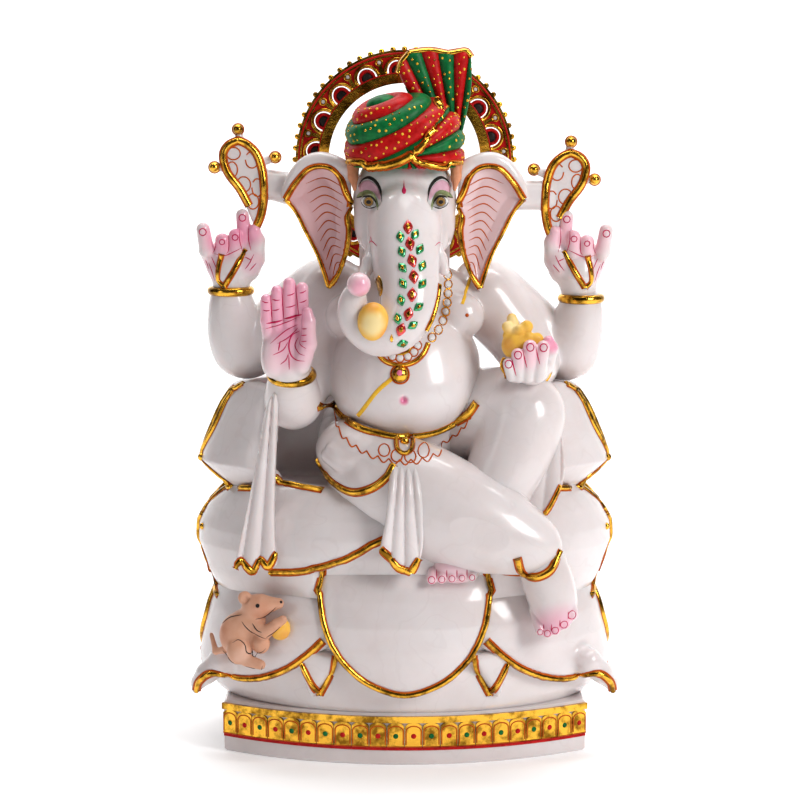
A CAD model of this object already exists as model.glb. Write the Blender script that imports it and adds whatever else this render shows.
"""The looks of a seated Ganesha idol of polished white marble, painted and gilded.

The carving is modelled as clay: signed distances on a grid, in millimetres and in the frame of the CAD model,
meshed and handed to Blender in metres. Left and right are as seen from the front, so left is -X.
"""

import math
import random

import bpy
import numpy as np
import openvdb
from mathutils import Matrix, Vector
from mathutils.bvhtree import BVHTree
from mathutils.geometry import delaunay_2d_cdt as delaunay


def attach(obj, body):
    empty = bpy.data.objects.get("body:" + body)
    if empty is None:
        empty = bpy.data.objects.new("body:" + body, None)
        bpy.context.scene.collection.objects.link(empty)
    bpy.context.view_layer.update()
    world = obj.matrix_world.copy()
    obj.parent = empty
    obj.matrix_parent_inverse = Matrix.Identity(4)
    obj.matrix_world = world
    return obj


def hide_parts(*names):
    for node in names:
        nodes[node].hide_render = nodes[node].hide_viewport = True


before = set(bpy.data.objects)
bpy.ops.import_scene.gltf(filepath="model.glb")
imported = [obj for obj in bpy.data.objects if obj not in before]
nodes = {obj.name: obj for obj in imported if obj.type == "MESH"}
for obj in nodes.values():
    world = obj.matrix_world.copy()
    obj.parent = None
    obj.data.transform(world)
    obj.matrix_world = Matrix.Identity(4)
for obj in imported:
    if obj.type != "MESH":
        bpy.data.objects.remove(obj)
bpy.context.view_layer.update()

MM = 0.001
SIDES = (-1, 1)
FAR_FRONT = -400
FORWARD, BACKWARD = Vector((0, -1, 0)), Vector((0, 1, 0))
random.seed(7)


# ---------------------------------------------------------------- shader helpers


class Shader:
    """A node material under construction."""

    def __init__(self, name):
        self.material = bpy.data.materials.new(name)
        self.material.use_nodes = True
        self.tree = self.material.node_tree
        self.surface = self.tree.nodes["Principled BSDF"]

    def set(self, **values):
        """Sets the surface's own sockets. Underscores stand for spaces."""
        for key, value in values.items():
            self.surface.inputs[key.replace("_", " ")].default_value = value

    def node(self, kind, links=None, **values):
        """Adds a node, sets its properties or input values, and links its inputs."""
        new = self.tree.nodes.new(kind)
        for key, value in values.items():
            if hasattr(new, key):
                setattr(new, key, value)
            else:
                new.inputs[key.replace("_", " ")].default_value = value
        for key, source in (links or {}).items():
            self.tree.links.new(source, new.inputs[key])
        return new

    def feed(self, socket, source):
        self.tree.links.new(source, self.surface.inputs[socket])

    def place(self):
        """The point on the object, so that a pattern moves with it."""
        return self.node("ShaderNodeTexCoord").outputs["Object"]

    def noise(self, scale, detail=3.0, rough=0.5, at=None):
        """Noise with a scale per metre."""
        return self.node(
            "ShaderNodeTexNoise", {"Vector": at or self.place()}, Scale=scale, Detail=detail, Roughness=rough
        ).outputs["Fac"]

    def ramp(self, source, *stops):
        """A colour ramp through (position, colour) stops."""
        ramp = self.node("ShaderNodeValToRGB", {"Fac": source})
        colours = ramp.color_ramp.elements
        while len(colours) < len(stops):
            colours.new(0.5)
        for element, (position, colour) in zip(colours, stops):
            element.position = position
            element.color = (*colour, 1)
        return ramp.outputs["Color"]

    def spread(self, source, low, high):
        """Maps 0..1 to low..high."""
        return self.node("ShaderNodeMapRange", {"Value": source}, To_Min=low, To_Max=high).outputs["Result"]

    def mix(self, share, first, second):
        """Mixes two colours, each a source or a fixed colour."""
        mix = self.node("ShaderNodeMix", data_type="RGBA")
        self.tree.links.new(share, mix.inputs["Factor"])
        for socket, colour in ((mix.inputs["A"], first), (mix.inputs["B"], second)):
            if isinstance(colour, tuple):
                socket.default_value = (*colour, 1)
            else:
                self.tree.links.new(colour, socket)
        return mix.outputs["Result"]

    def bump(self, height, strength, distance):
        """Raises the surface by a height pattern, at most that many metres."""
        bump = self.node("ShaderNodeBump", {"Height": height}, Strength=strength, Distance=distance)
        self.feed("Normal", bump.outputs["Normal"])

    def attribute(self, name):
        """A value painted on the mesh's points."""
        return self.node("ShaderNodeAttribute", attribute_name=name)


# ---------------------------------------------------------------- clay: signed distances on a grid, in mm


def smooth_min(first, second, blend):
    """The lower of two distances, rounded where they are within blend of each other."""
    if blend <= 0:
        return np.minimum(first, second)
    share = np.clip(0.5 + 0.5 * (second - first) / blend, 0, 1)
    return second + (first - second) * share - blend * share * (1 - share)


def smooth_max(first, second, blend):
    return -smooth_min(-first, -second, blend)


def ease(value, low, high):
    """0 below low, 1 above high, and smooth between them."""
    share = np.clip((value - low) / (high - low), 0, 1)
    return share * share * (3 - 2 * share)


def curve(points, step):
    """A smooth path through points, with a new point about every step."""
    points = [np.array(p, float) for p in points]
    ends = [2 * points[0] - points[1], *points, 2 * points[-1] - points[-2]]
    path = []
    for a, b, c, d in zip(ends, ends[1:], ends[2:], ends[3:]):
        count = max(int(np.linalg.norm(c - b) / step), 1)
        for i in range(count):
            t = i / count
            path.append(
                0.5 * (2 * b + (c - a) * t + (2 * a - 5 * b + 4 * c - d) * t**2 + (3 * b - a - 3 * c
                                                                                   + d) * t**3)
            )
    path.append(points[-1])
    return path


def ball(centre, radius):
    """A shape is its lowest corner, its highest corner and its distance function."""
    centre = np.array(centre, float)

    def distance(x, y, z):
        return np.sqrt((x - centre[0]) ** 2 + (y - centre[1]) ** 2 + (z - centre[2]) ** 2) - radius

    return centre - radius, centre + radius, distance


def turned(angles):
    """The rotation matrix for turns in degrees about X, then Y, then Z."""
    matrix = np.eye(3)
    for axis, angle in enumerate(angles):
        c, s = math.cos(math.radians(angle)), math.sin(math.radians(angle))
        i, j = (axis + 1) % 3, (axis + 2) % 3
        turn = np.eye(3)
        turn[i, i], turn[i, j], turn[j, i], turn[j, j] = c, -s, s, c
        matrix = turn @ matrix
    return matrix


def egg(centre, radii, turn=(0, 0, 0)):
    """An ellipsoid, turned about its centre."""
    centre, radii = np.array(centre, float), np.array(radii, float)
    inverse = turned(turn).T

    def distance(x, y, z):
        dx, dy, dz = x - centre[0], y - centre[1], z - centre[2]
        local = [row[0] * dx + row[1] * dy + row[2] * dz for row in inverse]
        near = np.sqrt(sum((v / r) ** 2 for v, r in zip(local, radii)))
        slope = np.sqrt(sum((v / r**2) ** 2 for v, r in zip(local, radii)))
        return near * (near - 1) / np.maximum(slope, 1e-6)

    reach = radii.max()
    return centre - reach, centre + reach, distance


def bone(start, end, near, far):
    """A tapered limb with round ends."""
    start, end = np.array(start, float), np.array(end, float)
    along = end - start
    length = max(float(along @ along), 1e-6)

    def distance(x, y, z):
        dx, dy, dz = x - start[0], y - start[1], z - start[2]
        share = np.clip((dx * along[0] + dy * along[1] + dz * along[2]) / length, 0, 1)
        gap = np.sqrt((dx - share * along[0]) ** 2 + (dy - share * along[1]) ** 2
                      + (dz - share * along[2]) ** 2)
        return gap - (near + (far - near) * share)

    reach = max(near, far)
    return np.minimum(start, end) - reach, np.maximum(start, end) + reach, distance


class Outline:
    """A closed outline in a plane, ready to tell how far a point is outside it."""

    def __init__(self, *runs, step=2.0):
        """Smooth runs of points that meet at corners and close the outline."""
        points = []
        for run in runs:
            points += curve(run, step)[:-1]
        self.points = np.array([*points, points[0]], float)

    def distance(self, u, v):
        """Signed distance, negative inside. u and v are arrays of one shape."""
        best = np.full(u.shape, 1e6)
        inside = np.zeros(u.shape, bool)
        for (u1, v1), (u2, v2) in zip(self.points, self.points[1:]):
            du, dv = u2 - u1, v2 - v1
            length = max(du * du + dv * dv, 1e-9)
            share = np.clip(((u - u1) * du + (v - v1) * dv) / length, 0, 1)
            best = np.minimum(best, (u - u1 - share * du) ** 2 + (v - v1 - share * dv) ** 2)
            crosses = (v1 > v) != (v2 > v)
            if v1 != v2:
                inside ^= crosses & (u < u1 + (v - v1) * du / dv)
        return np.where(inside, -1, 1) * np.sqrt(best)

    def table(self, step=1.0, margin=12):
        """The distance on a fine grid, as a function that looks it up."""
        low, high = self.points.min(0) - margin, self.points.max(0) + margin
        u = np.arange(low[0], high[0] + step, step)
        v = np.arange(low[1], high[1] + step, step)
        values = self.distance(*np.meshgrid(u, v, indexing="ij"))

        def lookup(at_u, at_v):
            fu = np.clip((at_u - u[0]) / step, 0, len(u) - 1.001)
            fv = np.clip((at_v - v[0]) / step, 0, len(v) - 1.001)
            iu, iv = fu.astype(int), fv.astype(int)
            su, sv = fu - iu, fv - iv
            low_side = values[iu, iv] * (1 - su) + values[iu + 1, iv] * su
            return low_side * (1 - sv) + (values[iu, iv + 1] * (1 - su) + values[iu + 1, iv + 1] * su) * sv

        return lookup


def plate(outline, front, thickness, rounding=2.0):
    """A plate cut to an outline seen from the front. front(x, z) is its front face's y."""
    low, high = outline.points.min(0), outline.points.max(0)
    grid = outline.table()
    face = front(*np.meshgrid(np.linspace(low[0], high[0], 40), np.linspace(low[1], high[1], 40)))

    def distance(x, y, z):
        x, z = np.broadcast_arrays(x, z)
        middle = front(x, z) + thickness / 2
        edge = grid(x, z)
        return smooth_max(edge, np.abs(y - middle) - thickness / 2, rounding)

    bottom = np.array([low[0], np.min(face), low[1]])
    top = np.array([high[0], np.max(face) + thickness, high[1]])
    return bottom, top, distance


class Clay:
    """A block of clay: the distance to its surface at each point of a grid, negative inside."""

    def __init__(self, low, high, voxel):
        self.voxel = voxel
        self.axes = [np.arange(a, b + voxel, voxel) for a, b in zip(low, high)]
        self.field = np.full([len(axis) for axis in self.axes], 60.0)

    def room(self, low, high, margin):
        """The part of the grid near a box: its slices and its coordinates."""
        slices = []
        for axis, a, b in zip(self.axes, low, high):
            slices.append(slice(*np.searchsorted(axis, (a - margin, b + margin))))
        x, y, z = (axis[part] for axis, part in zip(self.axes, slices))
        return tuple(slices), x[:, None, None], y[None, :, None], z[None, None, :]

    def add(self, shape, blend=0.0):
        low, high, distance = shape
        room, x, y, z = self.room(low, high, blend + 3 * self.voxel)
        if self.field[room].size:
            self.field[room] = smooth_min(self.field[room], distance(x, y, z), blend)
        return self

    def carve(self, shape, blend=0.0):
        low, high, distance = shape
        room, x, y, z = self.room(low, high, blend + 3 * self.voxel)
        if self.field[room].size:
            self.field[room] = smooth_max(self.field[room], -distance(x, y, z), blend)
        return self

    def limb(self, points, radii, blend=0.0, step=None):
        """A chain of bones along points, or along a smooth curve through them if step is given."""
        stations = [(*point, radius) for point, radius in zip(points, radii)]
        if step:
            stations = curve(stations, step)
        for a, b in zip(stations, stations[1:]):
            self.add(bone(a[:3], b[:3], a[3], b[3]), blend)
        return self

    def swell(self, amount):
        """Moves the surface out by amount(x, y, z)."""
        x, y, z = self.axes
        self.field -= amount(x[:, None, None], y[None, :, None], z[None, None, :])
        return self

    def fire(self, name, material, slot, *replaced):
        """Meshes the clay as a piece of the idol."""
        grid = openvdb.FloatGrid(60.0)
        grid.copyFromArray(self.field.astype(np.float32))
        points, quads = grid.convertToQuads(isovalue=0.0)
        low = np.array([axis[0] for axis in self.axes])
        points = (low + points * self.voxel) * MM
        return piece(name, points, quads, material, slot, *replaced)


def piece(name, points, faces, material, slot, *replaced):
    """A smooth mesh piece that rides on the idol, faces outward."""
    mesh = bpy.data.meshes.new(name)
    mesh.from_pydata(np.asarray(points).tolist(), [], [list(f) for f in faces])
    mesh.validate()
    for face in mesh.polygons:
        face.use_smooth = True
    obj = bpy.data.objects.new(name, mesh)
    bpy.context.scene.collection.objects.link(obj)
    volume = sum(
        mesh.vertices[f.vertices[0]].co.dot(
            mesh.vertices[f.vertices[1]].co.cross(mesh.vertices[f.vertices[2]].co)
        )
        for f in mesh.polygons
    )
    if volume < 0:
        mesh.flip_normals()
    mesh.materials.append(material)
    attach(obj, "root")
    if replaced:
        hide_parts(*replaced)
    return obj


# ---------------------------------------------------------------- paint: lines, dots and patches on a surface


class Skin:
    """The surface of finished pieces, in mm, for laying paint on."""

    def __init__(self, *objects):
        points, faces = [], []
        for obj in objects:
            start = len(points)
            points += [v.co / MM for v in obj.data.vertices]
            faces += [[start + i for i in face.vertices] for face in obj.data.polygons]
        self.tree = BVHTree.FromPolygons(points, faces)

    def nearest(self, point):
        spot, normal, _, _ = self.tree.find_nearest(Vector(point))
        return spot, normal

    def front(self, x, z, guess=-60):
        """The surface point straight behind (x, z), or the nearest one to it at a guessed y."""
        spot, normal, _, _ = self.tree.ray_cast(Vector((x, FAR_FRONT, z)), Vector((0, 1, 0)))
        if spot is None:
            return self.nearest((x, guess, z))
        return spot, normal

    def lay(self, path, guess=-60, step=1.6):
        """A line laid on the surface: a smooth path of (x, z) seen from the front, or of (x, y, z)."""
        laid = []
        for point in curve(path, step):
            if len(point) == 2:
                laid.append(self.front(*point, guess=guess))
            else:
                laid.append(self.nearest(point))
        return laid


class Paint:
    """Raised lines, dots and patches of one material, gathered into one piece."""

    def __init__(self, name, material, slot):
        self.name, self.material, self.slot = name, material, slot
        self.points, self.faces = [], []

    def line(self, laid, width, height, sides=8, taper=False):
        """A low rounded ridge along laid points."""
        count = len(laid)
        if count < 2:
            return
        start = len(self.points)
        for i, (spot, normal) in enumerate(laid):
            ahead, behind = laid[min(i + 1, count - 1)][0], laid[max(i - 1, 0)][0]
            along = (ahead - behind).normalized()
            across = along.cross(normal).normalized()
            up = across.cross(along)
            thin = math.sin(math.pi * (i + 0.5) / count) ** 0.6 if taper else 1
            for k in range(sides):
                turn = 2 * math.pi * k / sides
                out = across * (math.cos(turn) * width / 2 * thin) + up * (math.sin(turn) * height * thin)
                self.points.append(spot + out)
        for i in range(count - 1):
            for k in range(sides):
                a, b = start + i * sides + k, start + i * sides + (k + 1) % sides
                self.faces.append((a, b, b + sides, a + sides))
        self.faces.append(tuple(range(start, start + sides)))
        self.faces.append(tuple(reversed(range(start + (count - 1) * sides, start + count * sides))))

    def dot(self, spot, normal, radius, height, sides=10):
        """A low dome."""
        start = len(self.points)
        across = normal.orthogonal().normalized()
        other = normal.cross(across)
        rings = ((1.0, -0.3), (0.95, 0.35), (0.55, 0.85))
        for wide, high in rings:
            for k in range(sides):
                turn = 2 * math.pi * k / sides
                out = (across * math.cos(turn) + other * math.sin(turn)) * radius * wide
                self.points.append(spot + out + normal * height * high)
        self.points.append(spot + normal * height)
        self.points.append(spot - normal * height * 0.3)
        for ring in range(len(rings) - 1):
            for k in range(sides):
                a, b = start + ring * sides + k, start + ring * sides + (k + 1) % sides
                self.faces.append((a, b, b + sides, a + sides))
        last, top = start + (len(rings) - 1) * sides, start + len(rings) * sides
        for k in range(sides):
            self.faces.append((last + k, last + (k + 1) % sides, top))
            self.faces.append((start + (k + 1) % sides, start + k, top + 1))

    def patch(self, skin, outline, height=0.25, guess=-60, step=1.0, rise=0.0):
        """A thin flat of paint inside an outline seen from the front, domed by rise."""
        shape = Outline([*outline, outline[0]], step=step)
        low, high = shape.points.min(0), shape.points.max(0)
        span = max(high - low)
        u = np.arange(low[0] + step / 2, high[0], step)
        v = np.arange(low[1] + step / 2, high[1], step)
        grid_u, grid_v = np.meshgrid(u, v)
        deep = shape.distance(grid_u, grid_v)
        inner = [Vector(p) for p in zip(grid_u[deep < -step * 0.4], grid_v[deep < -step * 0.4])]
        rim = [Vector(p) for p in shape.points[:-1]]
        flat, _, faces, _, _, _ = delaunay(
            rim + inner, [(i, (i + 1) % len(rim)) for i in range(len(rim))], [], 1, 0.001
        )
        flat_points = np.array([tuple(p) for p in flat])
        depth = -shape.distance(flat_points[:, 0], flat_points[:, 1])
        start, count = len(self.points), len(flat)
        tops, bottoms = [], []
        for (x, z), inset in zip(flat_points, depth):
            spot, normal = skin.front(x, z, guess=guess)
            dome = rise * min(1, 2 * inset / span)
            tops.append(spot + normal * (height * (1 if inset > 0.2 * step else 0.2) + dome))
            bottoms.append(spot - normal * 0.4)
        self.points += tops + bottoms
        sides = {}
        for face in faces:
            self.faces.append(tuple(start + i for i in face))
            self.faces.append(tuple(start + count + i for i in reversed(face)))
            for a, b in zip(face, (*face[1:], face[0])):
                sides[(a, b)] = sides.get((a, b), 0) + 1
        for a, b in sides:
            if (b, a) not in sides:
                self.faces.append((start + b, start + a, start + count + a, start + count + b))

    def finish(self, *replaced):
        points = [tuple(p * MM) for p in self.points]
        return piece(self.name, points, self.faces, self.material, self.slot, *replaced)


# ---------------------------------------------------------------- materials


def marble(name, tinted):
    """Polished white marble with faint clouds and hairline veins, and the clay's own tint over it."""
    m = Shader(name)
    place = m.place()
    clouds = m.ramp(m.noise(14, 5, 0.6), (0.35, (0.68, 0.605, 0.595)), (0.7, (0.77, 0.715, 0.715)))
    bend = m.node("ShaderNodeVectorMath", operation="ADD")
    wander = m.node("ShaderNodeTexNoise", {"Vector": place}, Scale=9.0, Detail=4.0)
    m.tree.links.new(place, bend.inputs[0])
    m.tree.links.new(wander.outputs["Color"], bend.inputs[1])
    veins = m.node("ShaderNodeTexWave", {"Vector": bend.outputs["Vector"]}, Scale=5.0, Distortion=6.0,
                   Detail=3.0)
    vein = m.ramp(veins.outputs["Fac"], (0.0, (0.25, 0.25, 0.25)), (0.045, (0.0, 0.0, 0.0)))
    stone = m.mix(vein, clouds, (0.65, 0.575, 0.57))
    if tinted:
        tint = m.attribute("tint")
        stone = m.mix(tint.outputs["Alpha"], stone, tint.outputs["Color"])
    m.feed("Base Color", stone)
    m.feed("Roughness", m.spread(m.noise(120, 3), 0.16, 0.30))
    m.bump(m.noise(260, 2), 0.06, 0.0003)
    m.set(Specular_IOR_Level=0.5, Subsurface_Weight=0.22, Subsurface_Radius=(0.009, 0.0045, 0.0035))
    m.set(Subsurface_Scale=0.8, Coat_Weight=0.25, Coat_Roughness=0.08)
    return m.material


def gold_leaf(name="gold leaf", dark=(0.22, 0.10, 0.008), light=(0.90, 0.48, 0.05), rough=(0.1, 0.26)):
    """Burnished gold leaf over slightly uneven relief."""
    m = Shader(name)
    m.feed("Base Color", m.ramp(m.noise(110, 4, 0.6), (0.38, dark), (0.56, light)))
    m.feed("Roughness", m.spread(m.noise(420, 3), *rough))
    m.bump(m.noise(520, 3, 0.6), 0.3, 0.0005)
    m.set(Metallic=1.0)
    return m.material


def enamel(name, dark, light, grain=240, rough=(0.28, 0.5), bump=0.12):
    """Hand-brushed satin paint: slightly uneven in colour and thickness."""
    m = Shader(name)
    m.feed("Base Color", m.ramp(m.noise(grain, 4, 0.6), (0.3, dark), (0.7, light)))
    m.feed("Roughness", m.spread(m.noise(grain * 2, 3), *rough))
    m.bump(m.noise(grain * 3, 3), bump, 0.0003)
    m.set(Specular_IOR_Level=0.14)
    return m.material


def stone_paint(name):
    """Marble under a wash of paint that the clay's own tint holds, as on the mouse and the sweets."""
    m = Shader(name)
    tint = m.attribute("tint")
    m.feed("Base Color", m.mix(m.spread(m.noise(200, 4), 0.0, 0.12), tint.outputs["Color"],
                               (1.0, 0.93, 0.86)))
    m.feed("Roughness", m.spread(m.noise(300, 3), 0.25, 0.42))
    m.bump(m.noise(500, 3), 0.1, 0.0003)
    m.set(Subsurface_Weight=0.1, Subsurface_Radius=(0.004, 0.003, 0.002), Specular_IOR_Level=0.2)
    return m.material


def foiled_glass(name, deep, bright):
    """Cut glass over foil: deep colour with bright flecks."""
    m = Shader(name)
    m.feed("Base Color", m.ramp(m.noise(900, 2), (0.35, deep), (0.62, bright)))
    m.feed("Roughness", m.spread(m.noise(700, 2), 0.03, 0.12))
    m.set(Metallic=0.55, Coat_Weight=1.0, Coat_Roughness=0.02)
    return m.material


def floor_paper():
    """A seamless pale backdrop."""
    m = Shader("backdrop")
    m.feed("Base Color", m.ramp(m.noise(3, 2), (0.3, (0.90, 0.90, 0.905)), (0.7, (0.93, 0.93, 0.935))))
    m.set(Roughness=0.85, Emission_Color=(1.0, 1.0, 1.0, 1.0), Emission_Strength=0.24)
    return m.material


MARBLE = marble("marble", True)
PLAIN_MARBLE = marble("plain marble", False)
GOLD = gold_leaf()
ORANGE = enamel("orange line", (0.40, 0.055, 0.002), (0.62, 0.12, 0.006))
RED = enamel("red paint", (0.36, 0.003, 0.004), (0.60, 0.010, 0.010))
GREEN = enamel("green paint", (0.002, 0.085, 0.022), (0.006, 0.19, 0.045))
PINK = enamel("pink paint", (0.72, 0.12, 0.24), (0.84, 0.22, 0.36))
SALMON = enamel("salmon paint", (0.62, 0.24, 0.12), (0.74, 0.33, 0.19))
YELLOW = enamel("yellow paint", (0.80, 0.42, 0.02), (0.90, 0.54, 0.05))
BLACK = enamel("black paint", (0.012, 0.010, 0.010), (0.03, 0.025, 0.022))
WHITE = enamel("white paint", (0.66, 0.64, 0.63), (0.78, 0.76, 0.75))
OLIVE = enamel("olive paint", (0.16, 0.20, 0.08), (0.32, 0.36, 0.18))
AMBER = enamel("amber paint", (0.16, 0.075, 0.012), (0.34, 0.19, 0.05))
PAINTED = stone_paint("painted stone")
RUBY = foiled_glass("red glass", (0.35, 0.0, 0.01), (0.92, 0.06, 0.05))
EMERALD = foiled_glass("green glass", (0.0, 0.12, 0.04), (0.03, 0.50, 0.16))
STEEL = gold_leaf("drawn steel", (0.22, 0.22, 0.23), (0.52, 0.52, 0.53), (0.25, 0.4))


# ---------------------------------------------------------------- camera, backdrop and light


def camera():
    """A long lens a little above the idol, aimed at its middle."""
    centre = Vector((-0.003, 0, 0.22483))
    distance, rise = 1.7, math.radians(8)
    data = bpy.data.cameras.new("camera")
    data.lens, data.sensor_width = 115.54, 36
    obj = bpy.data.objects.new("camera", data)
    obj.location = centre + distance * Vector((0, -math.cos(rise), math.sin(rise)))
    obj.rotation_euler = (math.radians(90) - rise, 0, 0)
    bpy.context.scene.collection.objects.link(obj)
    bpy.context.scene.camera = obj


def backdrop():
    """A floor that sweeps up into a wall behind."""
    half, front, bend, back, top = 4.0, -3.0, 1.2, 2.2, 4.5
    profile = [(front, 0.0), (bend, 0.0)]
    for i in range(1, 13):
        turn = math.radians(90 * i / 12)
        profile.append((bend + (back - bend) * math.sin(turn), (back - bend) * (1 - math.cos(turn))))
    profile.append((back, top))
    points = [(x, y, z) for y, z in profile for x in (-half, half)]
    faces = [(2 * i, 2 * i + 1, 2 * i + 3, 2 * i + 2) for i in range(len(profile) - 1)]
    mesh = bpy.data.meshes.new("backdrop")
    mesh.from_pydata(points, [], faces)
    for face in mesh.polygons:
        face.use_smooth = True
    obj = bpy.data.objects.new("backdrop", mesh)
    bpy.context.scene.collection.objects.link(obj)
    mesh.materials.append(floor_paper())


def softbox(name, place, aim, width, height, power):
    """An area light at a place, turned to its aim."""
    data = bpy.data.lights.new(name, "AREA")
    data.shape = "RECTANGLE"
    data.size, data.size_y, data.energy = width, height, power
    obj = bpy.data.objects.new(name, data)
    obj.location = place
    obj.rotation_euler = (Vector(aim) - Vector(place)).to_track_quat("-Z", "Y").to_euler()
    bpy.context.scene.collection.objects.link(obj)


def studio():
    """A key light at the right, a weak fill, a top light and a light on the wall, in a dim room."""
    world = bpy.data.worlds.new("room")
    world.use_nodes = True
    room = world.node_tree.nodes["Background"].inputs
    room["Color"].default_value = (0.95, 0.88, 0.86, 1)
    room["Strength"].default_value = 0.08
    bpy.context.scene.world = world
    bpy.context.scene.view_settings.view_transform = "Standard"
    middle = (0, 0, 0.22)
    softbox("key", (1.35, -1.15, 1.15), middle, 0.6, 0.9, 25)
    softbox("fill", (-1.5, -1.1, 0.7), middle, 0.4, 1.2, 2.5)
    softbox("top", (0.1, -0.1, 1.7), middle, 0.8, 0.6, 6)
    softbox("wall", (0, 0.7, 2.6), (0, 2.4, 0.6), 3.2, 0.8, 72)


camera()
backdrop()
studio()


# ---------------------------------------------------------------- gilt and painted lines


class Gilding:
    """Gold relief lines with a thin orange line along both edges."""

    def __init__(self, name):
        self.gold = Paint(f"{name}_gold", GOLD, "gold_leaf")
        self.edge = Paint(f"{name}_edges", ORANGE, "red_paint")

    def line(self, laid, width=2.6, height=1.1, edge=1.4, taper=False):
        self.gold.line(laid, width, height, taper=taper)
        self.edge.line(laid, width + edge, min(0.45, height / 2), taper=taper)

    def finish(self, *replaced):
        return self.gold.finish(*replaced), self.edge.finish()


def sided(points, side):
    """The same (x, z) points, or their mirror image when side is -1."""
    return [(side * x, z) for x, z in points]


def oval(x, z, wide, high, parts=8):
    """A closed ring of (x, z) points round a place."""
    ring = []
    for i in range(parts + 1):
        turn = 2 * math.pi * i / parts
        ring.append((x + wide * math.cos(turn), z + high * math.sin(turn)))
    return ring


def tint_points(obj, colours):
    """Paints a tint on a piece's points: an array of red, green, blue and strength."""
    layer = obj.data.attributes.new("tint", "FLOAT_COLOR", "POINT")
    layer.data.foreach_set("color", np.asarray(colours, float).ravel())


def places_of(obj):
    """A piece's points in mm."""
    points = np.empty(len(obj.data.vertices) * 3)
    obj.data.vertices.foreach_get("co", points)
    return points.reshape(-1, 3) / MM


def blush(obj, spots, base=(1, 1, 1, 0)):
    """Tints a piece round spots: each a centre, a radius, a colour and a strength."""
    points = places_of(obj)
    colours = np.tile(np.array(base, float), (len(points), 1))
    for centre, radius, colour, strength in spots:
        share = 1 - ease(np.linalg.norm(points - np.array(centre), axis=1), radius * 0.35, radius)
        share = (share * strength)[:, None]
        fresh = np.array([*colour, 1.0])
        whole = colours[:, 3:] + share * (1 - colours[:, 3:])
        weight = share / np.maximum(whole, 1e-6)
        colours[:, :3] = colours[:, :3] * (1 - weight) + fresh[:3] * weight
        colours[:, 3:] = whole
    tint_points(obj, colours)


# ---------------------------------------------------------------- lotus throne


class Tier:
    """An elliptical drum that a ring of petals stands on.

    Round it, u is an arc length in mm from the front.
    """

    ARC = 112.0

    def __init__(self, *plans, centre=0.0):
        self.heights, self.widths, self.depths = (np.array(column, float) for column in zip(*plans))
        self.centre = centre

    def size(self, z):
        return np.interp(z, self.heights, self.widths), np.interp(z, self.heights, self.depths)

    def around(self, x, y, z):
        wide, deep = self.size(z)
        return np.arctan2(x / wide, -(y - self.centre) / deep) * self.ARC

    def distance(self, x, y, z):
        wide, deep = self.size(z)
        y = y - self.centre
        near = np.sqrt((x / wide) ** 2 + (y / deep) ** 2)
        slope = np.sqrt((x / wide**2) ** 2 + (y / deep**2) ** 2) / np.maximum(near, 1e-6)
        return (near - 1) / np.maximum(slope, 1e-6)

    def point(self, u, z, out=0.0):
        wide, deep = self.size(z)
        turn = u / self.ARC
        return ((wide + out) * math.sin(turn), self.centre - (deep + out) * math.cos(turn), z)

    def unrolled(self, x, z):
        """The (u, z) of a point that is seen at (x, z) from the front."""
        share = x / float(np.interp(z, self.heights, self.widths))
        return math.asin(max(-1.0, min(1.0, share))) * self.ARC, z


LOWER = Tier((34, 128, 88), (40, 133, 88), (56, 134, 90), (76, 131, 92), (92, 127, 91), (108, 121, 87),
             (126, 112, 80))
MIDDLE = Tier((92, 118, 80), (104, 124, 84), (116, 130, 87), (134, 135, 89), (146, 134, 88), (158, 128, 85),
              (168, 119, 80), (180, 106, 70))
UPPER = Tier((166, 112, 58), (176, 124, 64), (187, 134, 68), (198, 130, 67), (210, 125, 64), (226, 119, 60),
             (242, 111, 55))
BACK_Y = 74
PETAL_DEPTH = 9


def petal(name, tier, outline, low, high, lift, node, crown=20.0, extra=()):
    """A petal cut to an outline of (u, z) on a tier, swelling by lift away from its edge."""
    grid = Outline(*outline).table()
    clay = Clay(low, high, 1.25)
    x, y, z = np.meshgrid(*clay.axes, indexing="ij", sparse=True)
    edge = grid(tier.around(x, y, z), z + 0 * x + 0 * y)
    inside = np.maximum(-edge, 0)
    rise = lift * np.sqrt(np.clip(1 - (1 - np.clip(inside / crown, 0, 1)) ** 2, 0, 1))
    away = tier.distance(x, y, z)
    body = smooth_max(away - rise, edge, 3.0)
    clay.field = smooth_max(body, -(away + PETAL_DEPTH), 2.0)
    clay.field = smooth_max(clay.field, y - BACK_Y + 0 * x + 0 * z, 2.0)
    for shape in extra:
        clay.add(shape, 7.0)
    return clay.fire(name, MARBLE, "marble", node)


def seen(tier, points):
    return [tier.unrolled(x, z) for x, z in points]


def mirrored(runs):
    return [[(-u, z) for u, z in reversed(run)] for run in reversed(runs)]


def on_side(runs, side):
    """The same runs, or their mirror image when side is -1."""
    return runs if side > 0 else mirrored(runs)


FRONT_EDGE = [(52, 127), (55, 113), (54, 98), (49, 81), (38, 64), (21, 51), (0, 45), (-21, 51), (-38, 64),
              (-49, 81), (-54, 98), (-55, 113), (-52, 127)]
CORNER_EDGE = [(48, 81), (60, 71), (74, 60), (90, 51.5), (106, 47.5), (119, 47), (130, 45)]
CORNER_RIM = [(52, 82), (62, 72), (75, 61.5), (91, 53.5), (105, 50), (113, 50.5), (121, 53.5), (128, 53),
              (134, 47), (136, 40)]
ROUND_EDGE = [(57, 101), (80, 100), (104, 97), (119, 100), (129, 110), (134, 124), (135, 135)]

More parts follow.
